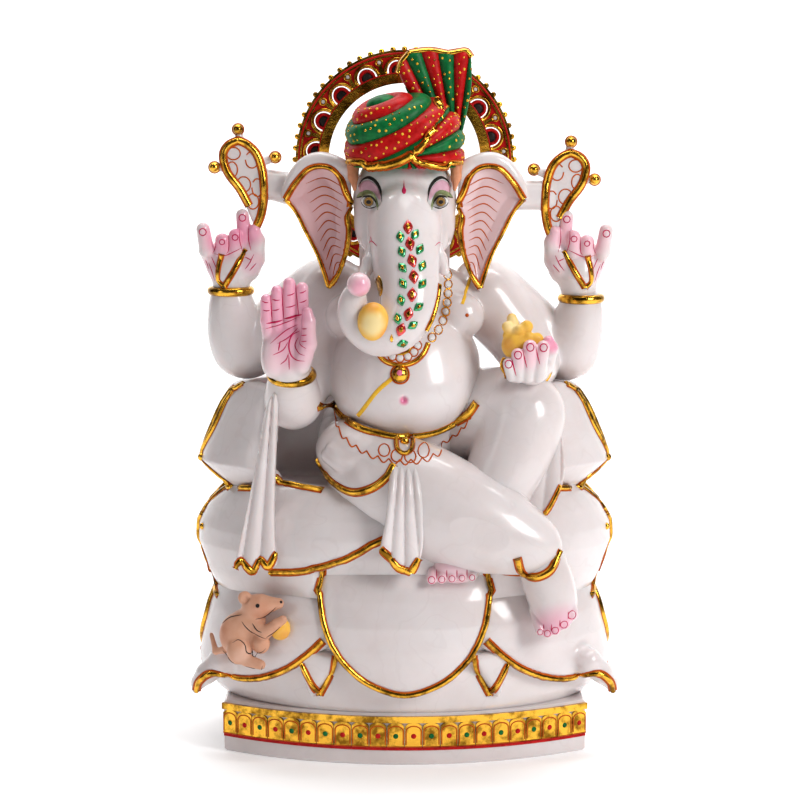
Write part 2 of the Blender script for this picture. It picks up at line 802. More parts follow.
# The outlines as (u, z) round each tier. Past the sides nothing is seen in front, and the same petals
# repeat.
FRONT = [seen(LOWER, FRONT_EDGE), [LOWER.unrolled(-52, 127), LOWER.unrolled(52, 127)]]
CORNER = [
    [LOWER.unrolled(48, 106), *seen(LOWER, CORNER_EDGE[:6])],
    [LOWER.unrolled(110, 52), (150, 44), (166, 38)],
    [(166, 38), (178, 46), (186, 62), (184, 84), (170, 104), (150, 118), (110, 124)],
    [(110, 124), LOWER.unrolled(48, 106)],
]
SMALL = [seen(LOWER, [(42, 72), (52, 56), (61, 42)]), seen(LOWER, [(61, 42), (66, 56), (68, 76)]),
         seen(LOWER, [(68, 76), (42, 72)])]
REAR = [[(168, 112), (166, 78), (196, 56), (232, 44)], [(232, 44), (262, 60), (282, 80), (282, 112)],
        [(282, 112), (168, 112)]]
ROUND = [
    [MIDDLE.unrolled(52, 176), MIDDLE.unrolled(50, 101)],
    [MIDDLE.unrolled(50, 101), *seen(MIDDLE, ROUND_EDGE[1:5]), (160, 118), (176, 134), (176, 152), (160, 168),
     (128, 177), (92, 179), MIDDLE.unrolled(52, 176)],
]
MIDDLE_REAR = [[(170, 150), (178, 118), (206, 104), (246, 102), (280, 110)], [(280, 110), (280, 176)],
               [(280, 176), (220, 176), (186, 166), (170, 150)]]
SEAT = [seen(MIDDLE, [(84, 121), (66, 123), (50, 127), (33, 134), (16, 144), (0, 150), (-16, 144), (-33, 134),
                      (-50, 127), (-66, 123), (-84, 121)]),
        seen(MIDDLE, [(-84, 121), (-72, 178)]), seen(MIDDLE, [(-72, 178), (72, 178)]),
        seen(MIDDLE, [(72, 178), (84, 121)])]
LEAF = [
    [(84, 180), UPPER.unrolled(108, 168), (140, 172), (158, 180), (176, 190)],
    [(176, 190), (168, 206), (160, 220), (148, 234), (134, 240)],
    [(134, 240), (96, 238)], [(96, 238), (84, 180)],
]
LEAF_REAR = [[(150, 236), (158, 206), (186, 184), (214, 176)], [(214, 176), (236, 190), (252, 214),
                                                                (254, 238)],
             [(254, 238), (150, 236)]]


def box_of(side, x0, x1):
    return (min(side * x0, side * x1), max(side * x0, side * x1))


def throne():
    """All the petals, and the marble drum behind them."""
    made = [
        petal("lotus_petal_front", LOWER, FRONT, (-62, -104, 38), (62, -40, 132), 5.5, "petal_front",
              crown=30),
        petal("lotus_petal_seat", MIDDLE, SEAT, (-92, -100, 114), (92, -40, 182), 2.0, "petal_seat",
              crown=16),
    ]
    for side, word in ((1, "right"), (-1, "left")):
        tip = [bone((side * 120, -52, 60), (side * 129, -50, 52), 9, 6),
               bone((side * 129, -50, 52), (side * 135, -47, 45), 5, 3),
               bone((side * 135, -47, 45), (side * 137, -46, 39.5), 2.8, 1.6)]
        low, high = box_of(side, 34, 141)
        made.append(petal(f"lotus_petal_corner_{word}", LOWER, on_side(CORNER, side), (low, -100, 34),
                          (high, 60, 130), 3.0,
                          f"petal_lower_{word}", extra=tip))
        made.append(petal(f"lotus_petal_round_{word}", MIDDLE, on_side(ROUND, side), (low, -98, 94),
                          (high, 62, 184), 2.6,
                          f"petal_middle_{word}", crown=24))
        low, high = box_of(side, 60, 141)
        made.append(petal(f"lotus_petal_leaf_{word}", UPPER, on_side(LEAF, side), (low, -72, 162),
                          (high, 72, 244), 2.2,
                          f"petal_upper_{word}", crown=24))
        low, high = box_of(side, 20, 139)
        made.append(petal(f"lotus_petal_rear_{word}", LOWER, on_side(REAR, side), (low, -20, 40),
                          (high, 77, 116), 2.0,
                          f"petal_lower_{word}"))
        made.append(petal(f"lotus_petal_round_rear_{word}", MIDDLE, on_side(MIDDLE_REAR, side),
                          (low, -20, 96), (high, 77, 180),
                          2.0, f"petal_middle_{word}"))
        made.append(petal(f"lotus_petal_leaf_rear_{word}", UPPER, on_side(LEAF_REAR, side), (low, -20, 172),
                          (high, 77, 242),
                          1.8, f"petal_upper_{word}"))
        low, high = box_of(side, 34, 78)
        made.append(petal(f"lotus_petal_small_{word}", LOWER, on_side(SMALL, side), (low, -100, 36),
                          (high, -50, 84), 1.0,
                          "petals_small", crown=8))
    for obj in made:
        blush(obj, [])
    return made


def drum():
    """The block inside the petals, with the seat and the backrest."""
    clay = Clay((-132, -92, 32), (132, 78, 240), 2.0)
    x, y, z = np.meshgrid(*clay.axes, indexing="ij", sparse=True)
    bulge = 1.6 * np.cos(np.clip((z - 44) / 22, -1, 1) * math.pi / 2)
    lower = smooth_max(LOWER.distance(x, y, z) + 5.5 - bulge, np.maximum(33 - z, z - 112) + 0 * x, 3)
    middle = smooth_max(MIDDLE.distance(x, y, z) + 5, np.maximum(100 - z, z - 172) + 0 * x, 4)
    upper = smooth_max(UPPER.distance(x, y, z) + 5, np.maximum(165 - z, z - 232) + 0 * x, 5)
    upper = smooth_max(upper, 16 - y + 0 * x + 0 * z, 6)
    whole = smooth_min(smooth_min(lower, middle, 3), upper, 4)
    clay.field = smooth_max(whole, y - BACK_Y + 0 * x + 0 * z, 2)
    obj = clay.fire("lotus_drum", MARBLE, "marble", "lotus_block")
    blush(obj, [])
    return obj


petals = throne()
drum_piece = drum()
throne_skin = Skin(*petals, drum_piece)
throne_gilt = Gilding("throne_lines")


def inset_run(points, amount):
    """A path moved to its right by an amount, in its own plane."""
    moved = []
    for i, (u, v) in enumerate(points):
        ahead, behind = points[min(i + 1, len(points) - 1)], points[max(i - 1, 0)]
        du, dv = ahead[0] - behind[0], ahead[1] - behind[1]
        length = math.hypot(du, dv) or 1
        moved.append((u + dv / length * amount, v - du / length * amount))
    return moved


def rim_on(tier, runs, width=4.4):
    """Gilt lines just inside runs of (u, z) on a tier."""
    for run in runs:
        path = curve(inset_run(curve(run, 3.0), 1.8), 2.0)
        laid = [throne_skin.nearest(tier.point(u, z, 4.0)) for u, z in path]
        throne_gilt.line(laid, width, 2.3, edge=1.9)


def front_line(points, width):
    """A gilt line on the throne along a path of (x, z) seen from the front."""
    throne_gilt.line(throne_skin.lay(points, -80, 1.6), width, 2.2, edge=2.1)


def throne_lines():
    """The gilt edges of the petals, and the beads at the tips of the upper ones."""
    rim_on(LOWER, [FRONT[0]], width=4.0)
    rim_on(MIDDLE, [SEAT[0]], width=3.6)
    for side in SIDES:
        rim_on(LOWER, [on_side([CORNER[2]], side)[0]])
        throne_gilt.gold.dot(*throne_skin.front(side * 134, 188), 2.8, 2.8)
        throne_gilt.gold.dot(*throne_skin.front(side * 133, 144), 2.4, 2.2)
        front_line(sided(CORNER_RIM, side), 3.8)
        front_line(sided([(44, 72), (47, 60), (54.5, 44.5)], side), 3.2)
        front_line(sided([(54.5, 44.5), (61, 55), (67, 67.5)], side), 3.2)
        rim_on(LOWER, on_side([REAR[0], REAR[1]], side))
        rim_on(MIDDLE, [on_side([ROUND[1]], side)[0]], width=3.8)
        rim_on(MIDDLE, [on_side([MIDDLE_REAR[0]], side)[0], on_side([MIDDLE_REAR[2]], side)[0]])
        rim_on(UPPER, [on_side([LEAF[0]], side)[0], on_side([LEAF[1]], side)[0]])
        rim_on(UPPER, on_side([LEAF_REAR[0], LEAF_REAR[1]], side))


throne_lines()
throne_gilt.finish("rims_lower", "rims_middle", "rims_upper")


# ---------------------------------------------------------------- body, arms and legs


ARMS = (
    [(-46, -2, 296, 23), (-60, -14, 268, 20), (-70, -38, 236, 17.5), (-72, -52, 232, 16), (-72, -62, 249,
                                                                                           13)],
    [(-50, 8, 296, 23), (-80, 8, 275, 19.5), (-105, 4, 257, 16.5), (-112, 0, 268, 15.5), (-114, -4, 294,
                                                                                          12.3)],
    [(52, 8, 296, 23), (82, 8, 273, 19), (107, 4, 256, 16.5), (113, 0, 267, 15.5), (116, -4, 290, 12.3)],
    [(52, -2, 294, 21), (72, -4, 270, 18), (83, -14, 253, 15.5), (84, -46, 252, 11)],
)
SHIN = [(-30, -44, 192, 19), (-22, -52, 186, 25), (-4, -60, 177, 29), (20, -67, 166, 30.5), (45, -73, 156,
                                                                                             28),
        (66, -78, 148, 21), (84, -80, 141, 14.5)]
RAISED = [(34, -10, 212, 29), (58, -30, 220, 26), (77, -46, 223, 22.5), (70, -53, 200, 21), (58, -59, 176,
                                                                                             18.5),
          (46, -64, 150, 15)]
BELT = [(-48, 229), (-44, 224), (-36, 218.5), (-20, 213), (0, 210), (20, 212), (38, 221), (46, 231)]
KNEE_HEM = [(-56, 193), (-52, 186), (-44, 180), (-33, 177), (-21, 181), (-12, 188), (-7, 196)]


def swept(clay, stations, blend=6.0, step=4.0):
    return clay.limb([s[:3] for s in stations], [s[3] for s in stations], blend, step)


def body():
    """The trunk of the body with the four arms to the wrists."""
    clay = Clay((-134, -82, 192), (136, 36, 326), 1.15)
    clay.add(egg((0, -8, 290), (53, 31, 28)))
    clay.add(egg((0, -10, 210), (55, 42, 30)), 10)
    clay.add(egg((0, -8, 316), (24, 22, 16)), 8)
    for side in SIDES:
        clay.add(egg((side * 36, -31, 284), (15.5, 14, 15)), 4)
    for arm in ARMS:
        swept(clay, arm, 5.0)
    clay.add(egg((0, -24, 250), (49.5, 46, 43)), 3)
    clay.add(egg((0, -35, 238), (46, 41, 33)), 8)
    clay.carve(egg((-0.5, -77, 236), (1.6, 3.5, 1.9)), 1.4)
    obj = clay.fire("body", MARBLE, "marble", "torso", "arm_front_left", "arm_front_right", "arm_rear_left",
                    "arm_rear_right")
    rose = (0.46, 0.26, 0.20)
    blush(obj, [((-0.5, -76, 235), 4.0, (0.76, 0.12, 0.30), 0.9), ((54, -22, 276), 14, rose, 0.35),
                ((38, -38, 268), 10, rose, 0.25), ((-38, -38, 270), 9, rose, 0.2), ((-72, -46, 218), 16,
                                                                                    rose, 0.12),
                ((-52, -30, 262), 14, rose, 0.12), ((112, 0, 246), 20, rose, 0.12), ((-112, 0, 246), 20,
                                                                                     rose, 0.14)])
    return obj


def fold_rings(axis_from, axis_to, spacing, height, low, high):
    """Soft cloth folds that ring a limb between two shares of its length."""
    start, end = np.array(axis_from, float), np.array(axis_to, float)
    along = end - start
    length = float(np.linalg.norm(along))
    along = along / length

    def amount(x, y, z):
        run = (x - start[0]) * along[0] + (y - start[1]) * along[1] + (z - start[2]) * along[2]
        wave = np.sin(2 * math.pi * run / spacing + 0.02 * x * y / 10)
        return height * wave * ease(run, low * length, low * length + 8) * (1 - ease(run, high * length - 8,
                                                                                     high * length))

    return amount


def legs():
    """The folded leg that crosses in front and the raised knee at the right, under the cloth."""
    raised = Clay((2, -96, 130), (104, 28, 252), 1.1)
    swept(raised, RAISED, 8.0)
    raised.swell(fold_rings((74, -50, 216), (46, -64, 146), 11, 1.0, 0.5, 1.0))
    raised_piece = raised.fire("raised_leg_cloth", MARBLE, "marble", "raised_leg")
    crossed = Clay((-62, -104, 126), (100, 20, 236), 1.1)
    swept(crossed, SHIN, 8.0)
    crossed.add(egg((-28, -16, 203), (29, 30, 24)), 8)
    crossed.swell(fold_rings((-30, -50, 190), (84, -80, 141), 26, 0.5, 0.2, 0.9))
    crossed.add(egg((-30, -43, 198.5), (27.5, 34, 21.5)), 1.2)
    for i, rise in enumerate((1.2, 1.0)):
        path = curve([(-50 + 3 * i, 198 + 5 * i), (-36, 191 + 6 * i), (-18, 195 + 6 * i),
                      (-8, 203 + 4 * i)], 3.0)
        for x, z in path:
            y = -43 - 34 * math.sqrt(max(0.05, 1 - ((x + 30) / 27.5) ** 2 - ((z - 198.5) / 21.5) ** 2))
            crossed.add(ball((x, y + 1.4, z), 2.2 + rise), 3.0)
    crossed_piece = crossed.fire("folded_leg_cloth", MARBLE, "marble", "crossed_leg")
    rose = (0.42, 0.30, 0.27)
    blush(raised_piece, [((58, -60, 176), 20, rose, 0.25), ((84, -60, 236), 18, rose, 0.10)])
    blush(crossed_piece, [((-30, -70, 186), 20, rose, 0.15), ((20, -80, 140), 24, rose, 0.15)])
    return raised_piece, crossed_piece


body_piece = body()
raised_leg, crossed_leg = legs()
body_skin = Skin(body_piece)
leg_skin = Skin(raised_leg, crossed_leg)
dress_gilt = Gilding("dress_lines")
cord = Paint("chest_cord", YELLOW, "yellow_sweets")
fine_orange = Paint("orange_strokes", ORANGE, "red_paint")


def body_paint():
    """The belt with its clasp and lace, the gilt hem at the knee, the cord and the nipples."""
    both = Skin(body_piece, raised_leg, crossed_leg)
    dress_gilt.line(both.lay(BELT, -60), 5.0, 3.0, edge=1.5)
    dress_gilt.line(leg_skin.lay(KNEE_HEM, -70), 4.4, 2.0, edge=1.5)
    cord.line(body_skin.lay([(-8, 249), (-18, 240), (-30, 223)]), 2.8, 0.5)
    cord.line(body_skin.lay([(43, 308), (37, 293)], -36), 2.2, 0.45)
    for x, z in ((-34.5, 286), (40, 286)):
        fine_orange.dot(*body_skin.front(x, z), 1.3, 0.5)
    lace_low = [(-46, 222), (-40, 213), (-28, 205), (-14, 200), (0, 199), (16, 201), (30, 208), (40, 219),
                (44, 228)]
    path = curve(lace_low, 1.0)
    for i in range(0, len(path) - 7, 7):
        a, b = path[i], path[i + 7]
        mid = (a + b) / 2 + np.array([0, -3.0])
        fine_orange.line(both.lay([a, mid, b], -62, 0.8), 1.0, 0.45, sides=6)
    for i, x in enumerate((-13, -5, 3.5, 12)):
        z = 200.5 + 0.02 * x * x
        fine_orange.line(both.lay(oval(x, z, 3.6, 3.4), -62, 0.9), 1.0, 0.45, sides=6)
    clasp = both.lay([(-5.5, 210), (-4.5, 204.5), (0, 202), (4.5, 204.5), (5.5, 210)], -64, 1.0)
    dress_gilt.line(clasp, 2.6, 2.6, edge=0.8)
    dress_gilt.gold.dot(*both.front(0, 208), 3.0, 3.6)


body_paint()
cord.finish()


# ---------------------------------------------------------------- sash and scarves


def pleated(outline, front, thickness, ridges, depth, top, spread):
    """A hanging cloth whose pleats fan out from a top point (x, z)."""
    grid = outline.table()
    low, high = outline.points.min(0), outline.points.max(0)

    def distance(x, y, z):
        x, z = np.broadcast_arrays(x, z)
        fan = (x - top[0]) / np.maximum(top[1] - z + spread, 4) * spread
        wave = depth * np.abs(np.sin(math.pi * fan * ridges)) ** 0.7
        face = front(x, z) - wave
        back = front(x, z) + thickness
        edge = grid(x, z)
        return smooth_max(smooth_max(face - y, y - back, 1.0), edge, 2.0) * 0.85

    bottom = np.array([low[0], np.min(front(low[0], low[1])) - depth - 4, low[1]])
    upper = np.array([high[0], np.max(front(high[0], high[1])) + thickness + 30, high[1]])
    return bottom, upper, distance


SASH_EDGE = Outline([(-7, 203), (-10, 186), (-12, 163), (-16, 142)], [(-16, 142), (-4, 130), (4, 127)],
                         [(4, 127), (10, 137), (12, 158), (11, 183), (8, 203)], [(8, 203), (-7, 203)])
LEFT_SCARF = Outline([(-83, 240), (-89, 226), (-96, 187), (-107, 136), (-109, 125)],
                          [(-109, 125), (-105, 130), (-100, 125), (-96, 123.5), (-92, 130), (-87, 126),
                           (-81, 130)],
                          [(-81, 130), (-83, 160), (-80, 238)], [(-80, 238), (-83, 240)])
RIGHT_SCARF = Outline([(99, 222), (103, 195), (101, 177), (94, 163), (86, 153)],
                           [(86, 153), (78, 160), (66, 170)], [(66, 170), (82, 182), (93, 202), (99, 222)])


def cloth(name, outline, front, thickness, ridges, depth, top, spread, node, low, high):
    clay = Clay(low, high, 0.8)
    clay.add(pleated(outline, front, thickness, ridges, depth, top, spread))
    obj = clay.fire(name, MARBLE, "marble", node)
    blush(obj, [])
    return obj


def sash_front(x, z):
    """The sash lies over the crossing shin and hangs from its front."""
    over = np.sqrt(np.clip(32.5**2 - np.maximum(z - 170, 0) ** 2, 0, None))
    return -66.5 - over + 0.06 * np.maximum(165 - z, 0) + 0 * x


def cloths():
    sash = cloth("waist_sash", SASH_EDGE, sash_front, 7, 0.40, 2.2, (0, 215), 30, "waist_sash",
                 (-20, -106, 122),
                 (16, -60, 206))
    left = cloth("scarf_left", LEFT_SCARF, lambda x, z: -78 + 0.07 * (z - 125) + 0 * x, 9,
                 0.42, 2.8, (-81, 245), 30, "scarf_left", (-112, -92, 120), (-76, -50, 244))
    right = cloth("scarf_right", RIGHT_SCARF, lambda x, z: -62 + 0.1 * (z - 153) + 0 * x, 9, 0.30, 1.6,
                  (100, 236),
                  30, "scarf_right", (60, -72, 148), (108, -40, 226))
    return sash, left, right


sash_piece, scarf_left, scarf_right = cloths()
cloth_skin = Skin(sash_piece, scarf_left, scarf_right)


def hem(points, width=3.2, guess=-80):
    dress_gilt.line(cloth_skin.lay(points, guess, 1.0), width, 1.3, edge=1.3)


hem([(-15, 144), (-10, 139), (-4, 132), (4, 129)], 4.4, -100)
hem([(4, 129), (9, 138)], 4.4, -100)
hem([(-108, 127.5), (-104.6, 132.5), (-100, 128), (-96.4, 126), (-92, 133), (-87, 129), (-82, 137)], 4.2)
hem([(67, 170), (77, 162), (86, 155)], 3.0)
hem([(86, 155), (93, 164), (100, 178)], 2.6)


# ---------------------------------------------------------------- hands and feet


ROSE = (0.82, 0.26, 0.42)
PALE_ROSE = (0.84, 0.45, 0.54)
red_strokes = Paint("red_strokes", enamel("rose line", (0.42, 0.006, 0.05), (0.60, 0.02, 0.11)), "red_paint")


def stroke(skin, points, width=0.7, guess=-80, taper=True):
    """A brush stroke of rose paint."""
    red_strokes.line(skin.lay(points, guess, 0.8), width, 0.28, sides=6, taper=taper)


def blessing_hand():
    """The raised palm at the left, with its painted lines."""
    clay = Clay((-96, -94, 240), (-49, -56, 318), 0.62)
    clay.limb([(-72, -62, 246), (-73, -70, 256)], [12.6, 12.5], 3)
    clay.add(egg((-73.5, -74, 268), (16.8, 8.5, 19)), 5)
    clay.add(egg((-84, -78, 262), (6.5, 6, 12)), 4)
    tops = ((-87.0, 299.5, 3.9), (-80.2, 305, 4.0), (-72.4, 309.6, 4.3), (-64.3, 306.8, 4.2))
    for x, top, r in tops:
        clay.limb([(x * 0.9 - 7.3, -75, 274), (x, -77, 286), (x, -79, top)], [r, r, r * 0.92], 1.0)
    clay.limb([(-66, -78, 258), (-60.5, -82, 272), (-60, -83, 286), (-61, -83, 292)], [6.5, 5.4, 4.2, 3.4],
              1.6)
    obj = clay.fire("blessing_hand", MARBLE, "tinted_marble", "hand_blessing")
    blush(obj, [((-76, -82, 296), 34, ROSE, 0.75), ((-68, -82, 270), 20, ROSE, 0.5), ((-80, -82, 262), 14,
                                                                                      PALE_ROSE,
                                                                                       0.5)])
    skin = Skin(obj)
    for x0, z0, x1, z1 in ((-84.2, 303, -83.2, 285), (-77.2, 307, -75.9, 285), (-68.6, 310, -66.4, 288)):
        stroke(skin, [(x0, z0), (x1, z1)], 0.9)
    rows = ((-89.5, 299, -85.6, 298), (-83, 300, -78.3, 299.6), (-73.6, 302.5, -69, 304),
            (-65.8, 304, -61.8, 305.6),
            (-88.8, 293.2, -84.8, 293), (-83, 293, -78.6, 294), (-74.6, 295, -68.4, 296.4),
            (-66, 298, -61.5, 299.6))
    for x0, z0, x1, z1 in rows:
        stroke(skin, [(x0, z0), ((x0 + x1) / 2, (z0 + z1) / 2 - 0.4), (x1, z1)], 0.8)
    stroke(skin, [(-87, 284.6), (-81, 285.6), (-76.6, 286.8)], 1.3)
    stroke(skin, [(-75.6, 287.6), (-70, 289), (-64.6, 290.4)], 1.5)
    stroke(skin, [(-88, 281), (-78, 284), (-67, 288.5)])
    stroke(skin, [(-84.5, 272), (-75, 280), (-67, 284)])
    stroke(skin, [(-66, 280), (-71, 277), (-72.8, 271), (-71.5, 265), (-68, 262), (-62.5, 261.4)], 1.0)
    stroke(skin, [(-67, 276), (-69, 271), (-66.5, 266.5), (-62.6, 265)])
    stroke(skin, [(-65.4, 275.4), (-65.6, 272), (-61.8, 269.6)])
    for z in (281.6, 277.6, 273.8):
        stroke(skin, [(-64.8, z), (-61.4, z + 0.5)])
    stroke(skin, [(-83, 265), (-76.6, 268), (-73.4, 273)])
    stroke(skin, [(-78.2, 259), (-74.6, 262), (-73, 266)])
    stroke(skin, [(-72.8, 265), (-72.6, 255.6)])
    stroke(skin, [(-79.4, 267.6), (-78.2, 273.6)], 0.9)
    stroke(skin, [(-80, 272), (-73, 276), (-67, 282)])


def offering_hand():
    """The hand that holds the heap of sweets."""
    clay = Clay((58, -84, 238), (102, -40, 286), 0.62)
    clay.limb([(84, -46, 252), (81, -58, 253)], [11, 11], 4)
    clay.add(egg((77.5, -63, 256), (17, 12, 10)), 4)
    tips = ((65.5, -74.5, 258.5, 3.6), (71.3, -76, 264.5, 4.1), (79.0, -76, 269.5, 4.4), (87.5, -74, 269,
                                                                                          4.2))
    for x, y, z, r in tips:
        clay.limb([(76 + (x - 76) * 0.75, -70, 250), (x, y, z)], [r + 0.4, r], 1.2)
    clay.limb([(90, -62, 256), (93, -66, 267), (91, -68, 272)], [5.5, 4.3, 3.6], 1.5)
    obj = clay.fire("offering_hand", MARBLE, "tinted_marble", "hand_offering")
    blush(obj, [((77, -78, 268), 18, PALE_ROSE, 0.65), ((93, -70, 271), 9, ROSE, 0.8)])
    skin = Skin(obj)
    for x, y, z, r in tips:
        stroke(skin, oval(x, z, 2.3, 2.5), 0.85, -78, False)
    for (xa, _, za, _), (xb, _, zb, _) in zip(tips, tips[1:]):
        x, z = (xa + xb) / 2, (za + zb) / 2
        stroke(skin, [(x - 1, z + 1), (x + 0.4, z - 5), (x + 2, z - 11)], 0.85, -78)
    dress_gilt.line(skin.lay([(62, -66, 262), (61, -68, 254), (63, -70, 248)]), 3.0, 1.2)


def foot(name, stations, toes, low, high):
    clay = Clay(low, high, 0.7)
    swept(clay, stations, 4.0, 2.0)
    for a, b, r in toes:
        clay.limb([a, b], [r, r * 0.92], 1.0)
    return clay.fire(name, MARBLE, "tinted_marble", "feet")


def feet():
    """The hanging foot with its toes outward, and the toes of the raised leg below the shin."""
    hanging_toes = []
    for i, (x, z) in enumerate(((106, 100), (101, 94), (95.5, 90), (90.5, 88), (86, 89))):
        hanging_toes.append(((x - 3.5, -82, z + 12), (x, -87 - 0.4 * i, z), 4.6 - 0.35 * i))
    hanging = foot("hanging_foot", [(86, -80, 136, 12.5), (91, -80, 120, 14), (95, -80, 106, 13),
                                    (96, -83, 99, 10)],
                   hanging_toes, (70, -98, 78), (114, -62, 152))
    rest_toes = []
    for i in range(5):
        x = 17 + 6.4 * i
        rest_toes.append(((x + 1.5, -80, 127), (x, -90 + 0.3 * i, 123 + 0.3 * i), 3.8 - 0.15 * i))
    resting = foot("resting_foot", [(41, -68, 138, 11), (38, -78, 130, 9.5), (27, -81, 129, 8.5)], rest_toes,
                   (6, -98, 114), (56, -54, 152))
    blush(hanging, [((97, -86, 94), 20, ROSE, 0.6)])
    blush(resting, [((27, -90, 122), 22, PALE_ROSE, 0.6)])
    for obj, toes in ((hanging, hanging_toes), (resting, rest_toes)):
        skin = Skin(obj)
        for _, (x, y, z), r in toes:
            stroke(skin, oval(x, z, 0.55 * r, 0.6 * r), 0.6, y, False)
        for (_, (xa, ya, za), _), (_, (xb, _, zb), _) in zip(toes, toes[1:]):
            x, z = (xa + xb) / 2, (za + zb) / 2
            stroke(skin, [(x, z + 0.5), (x, z + 5.5)], 0.7, ya)
    return hanging


blessing_hand()
offering_hand()
hanging_foot = feet()
cuff = [(70.5, 139), (74, 128), (82, 125), (92, 130), (98, 141)]
dress_gilt.line(Skin(hanging_foot, crossed_leg).lay(cuff, -92, 1.2), 4.4, 2.4, edge=1.6)


# ---------------------------------------------------------------- head, trunk and ears


TRUNK = [(0, -48, 350, 20), (0, -60, 334, 19), (1, -72, 318, 17.5), (3, -81, 304, 15.5), (1, -88, 291, 13.5),
         (-6, -92, 281, 11), (-17, -92, 277, 9), (-28, -91, 283, 7.5), (-33, -91, 294, 6.5), (-31, -94, 305,
                                                                                              6)]


def head():
    """The head with its trunk, and the painted tip of the trunk."""
    clay = Clay((-44, -112, 264), (46, 24, 396), 0.85)
    clay.add(egg((0, -18, 358), (33.5, 35, 36)))
    for side in SIDES:
        clay.add(egg((side * 15, -34, 342), (17, 19, 19)), 8)
        clay.add(bone((side * 22, -48, 333), (side * 19, -55, 326), 5.5, 4.5), 5)
    clay.add(bone((0, -10, 312), (0, -14, 334), 25, 25), 6)
    swept(clay, TRUNK, 6.0, 3.0)
    for side in SIDES:
        clay.carve(egg((side * 22.5, -57, 359.5), (6.5, 6, 3.8)), 4.5)
        clay.add(egg((side * 22.5, -48.5, 359.5), (5.2, 5.5, 4.4)), 1.6)
    obj = clay.fire("head", MARBLE, "marble", "head", "trunk")
    blush(obj, [((-30, -92, 300), 9, (0.60, 0.32, 0.36), 0.4), ((26, -40, 322), 12, (0.50, 0.30, 0.22), 0.4),
                ((-24, -40, 326), 9, (0.46, 0.28, 0.25), 0.3), ((22, -48, 346), 12, (0.52, 0.36, 0.32),
                                                                0.15)])
    tip = Clay((-40, -112, 300), (-18, -86, 322), 0.6)
    tip.add(egg((-28.5, -100, 311), (7.4, 7.2, 7.6)))
    tip_piece = tip.fire("trunk_tip", MARBLE, "tinted_marble")
    blush(tip_piece, [((-27, -107, 309), 9, ROSE, 0.75), ((-28, -103, 311), 14, PALE_ROSE, 0.5)])
    return obj


head_piece = head()
head_skin = Skin(head_piece)
tusks = Clay((-34, -86, 306), (34, -50, 338), 0.7)
tusks.limb([(-18, -56, 333), (-22, -66, 322), (-27, -74, 312)], [5.6, 4.8, 3.2], 2)
tusks.limb([(18, -56, 333), (22, -65, 324), (25, -71, 317)], [5.4, 4.6, 3.2], 2)
tusk_piece = tusks.fire("tusks", MARBLE, "marble", "tusks")
blush(tusk_piece, [])

LILAC = enamel("lid paint", (0.66, 0.36, 0.46), (0.76, 0.46, 0.56))
EYE_PARTS = (
    (LILAC, 0.16,
     [(-29.6, 367.5), (-26.5, 371.2), (-22.5, 372.2), (-18.6, 369.6), (-16, 365), (-15.4, 360.4),
      (-17, 361.6),
      (-20, 365), (-24, 366), (-28, 363.6)]),
    (OLIVE, 0.22, [(-31.2, 360.6), (-28.6, 364.4), (-24, 366.2), (-20, 364.8), (-17.8, 361.2), (-16.6, 357),
                   (-17.2, 354.6), (-18.4, 357.6), (-20.4, 360.4), (-24, 362.4), (-27.4, 361.2)]),
    (WHITE, 0.26, [(-28.6, 359.8), (-25.6, 361.8), (-22.4, 362.1), (-19.6, 360.1), (-18, 357.1),
                   (-19.8, 355.9),
                   (-22.8, 355.3), (-25.8, 356.7)]),
)


def on_face(points, side):
    """A line on the face, given for the left eye."""
    return head_skin.lay(sided(points, -side), -50, 0.6)


def face_paint():
    """Layered eyes with brows, the mark on the forehead and the strokes at the tusks."""
    black = Paint("eye_lines", BLACK, "ear_paint")
    amber = Paint("eye_irises", AMBER, "ear_paint")
    white = Paint("eye_glints", WHITE, "ear_paint")
    for part, (material, height, outline) in enumerate(EYE_PARTS):
        paint = Paint(f"eye_layer_{part}", material, "ear_paint")
        for side in SIDES:
            paint.patch(head_skin, sided(outline, -side), height, step=0.7)
        paint.finish()
    for side in SIDES:
        brow = [(-29.8, 367.4), (-27.4, 371.8), (-23.2, 373.9), (-18.6, 371.6), (-15.6, 366.6),
                (-14.4, 359.6)]
        lid = [(-31, 360.4), (-28.4, 361.4), (-25.4, 362.5), (-22, 362.7), (-19.4, 360.7), (-17.6, 356.8)]
        lash = [(-28.4, 359.8), (-26.2, 356.8), (-23, 355.2), (-19.6, 355.6), (-17.6, 357)]
        black.line(on_face(brow, side), 2.2, 0.4, taper=True)
        black.line(on_face(lid, side), 1.7, 0.5, taper=True)
        black.line(on_face(lash, side), 1.2, 0.5, taper=True)
        x = side * 22.9
        amber.dot(*head_skin.front(x, 359.3), 2.9, 0.42, 16)
        black.dot(*head_skin.front(x, 359.7), 1.9, 0.62, 14)
        black.line(head_skin.lay(oval(x, 359.3, 3, 3, 12), -50, 0.7), 0.5, 0.5, sides=6)
        white.dot(*head_skin.front(x - 0.8, 360.6), 0.5, 0.8)
    for paint in (black, amber, white):
        paint.finish()
    tilak = Paint("tilak", red_strokes.material, "red_paint")
    tilak.patch(head_skin, [(-0.5, 373.5), (-0.1, 369.5), (0.9, 366.8), (0.3, 365.2), (-0.5, 364.8),
                            (-1.3, 365.2),
                            (-1.9, 366.8), (-0.9, 369.5)], 0.3, step=0.5)
    tilak.finish()
    stroke(head_skin, [(-23, 333), (-21, 335.5), (-17.5, 333)], 0.8)
    stroke(head_skin, [(-21.5, 338), (-21, 335.5)], 0.8)
    stroke(head_skin, [(19, 333), (21.5, 334.5), (24, 332.5)], 0.6)


face_paint()


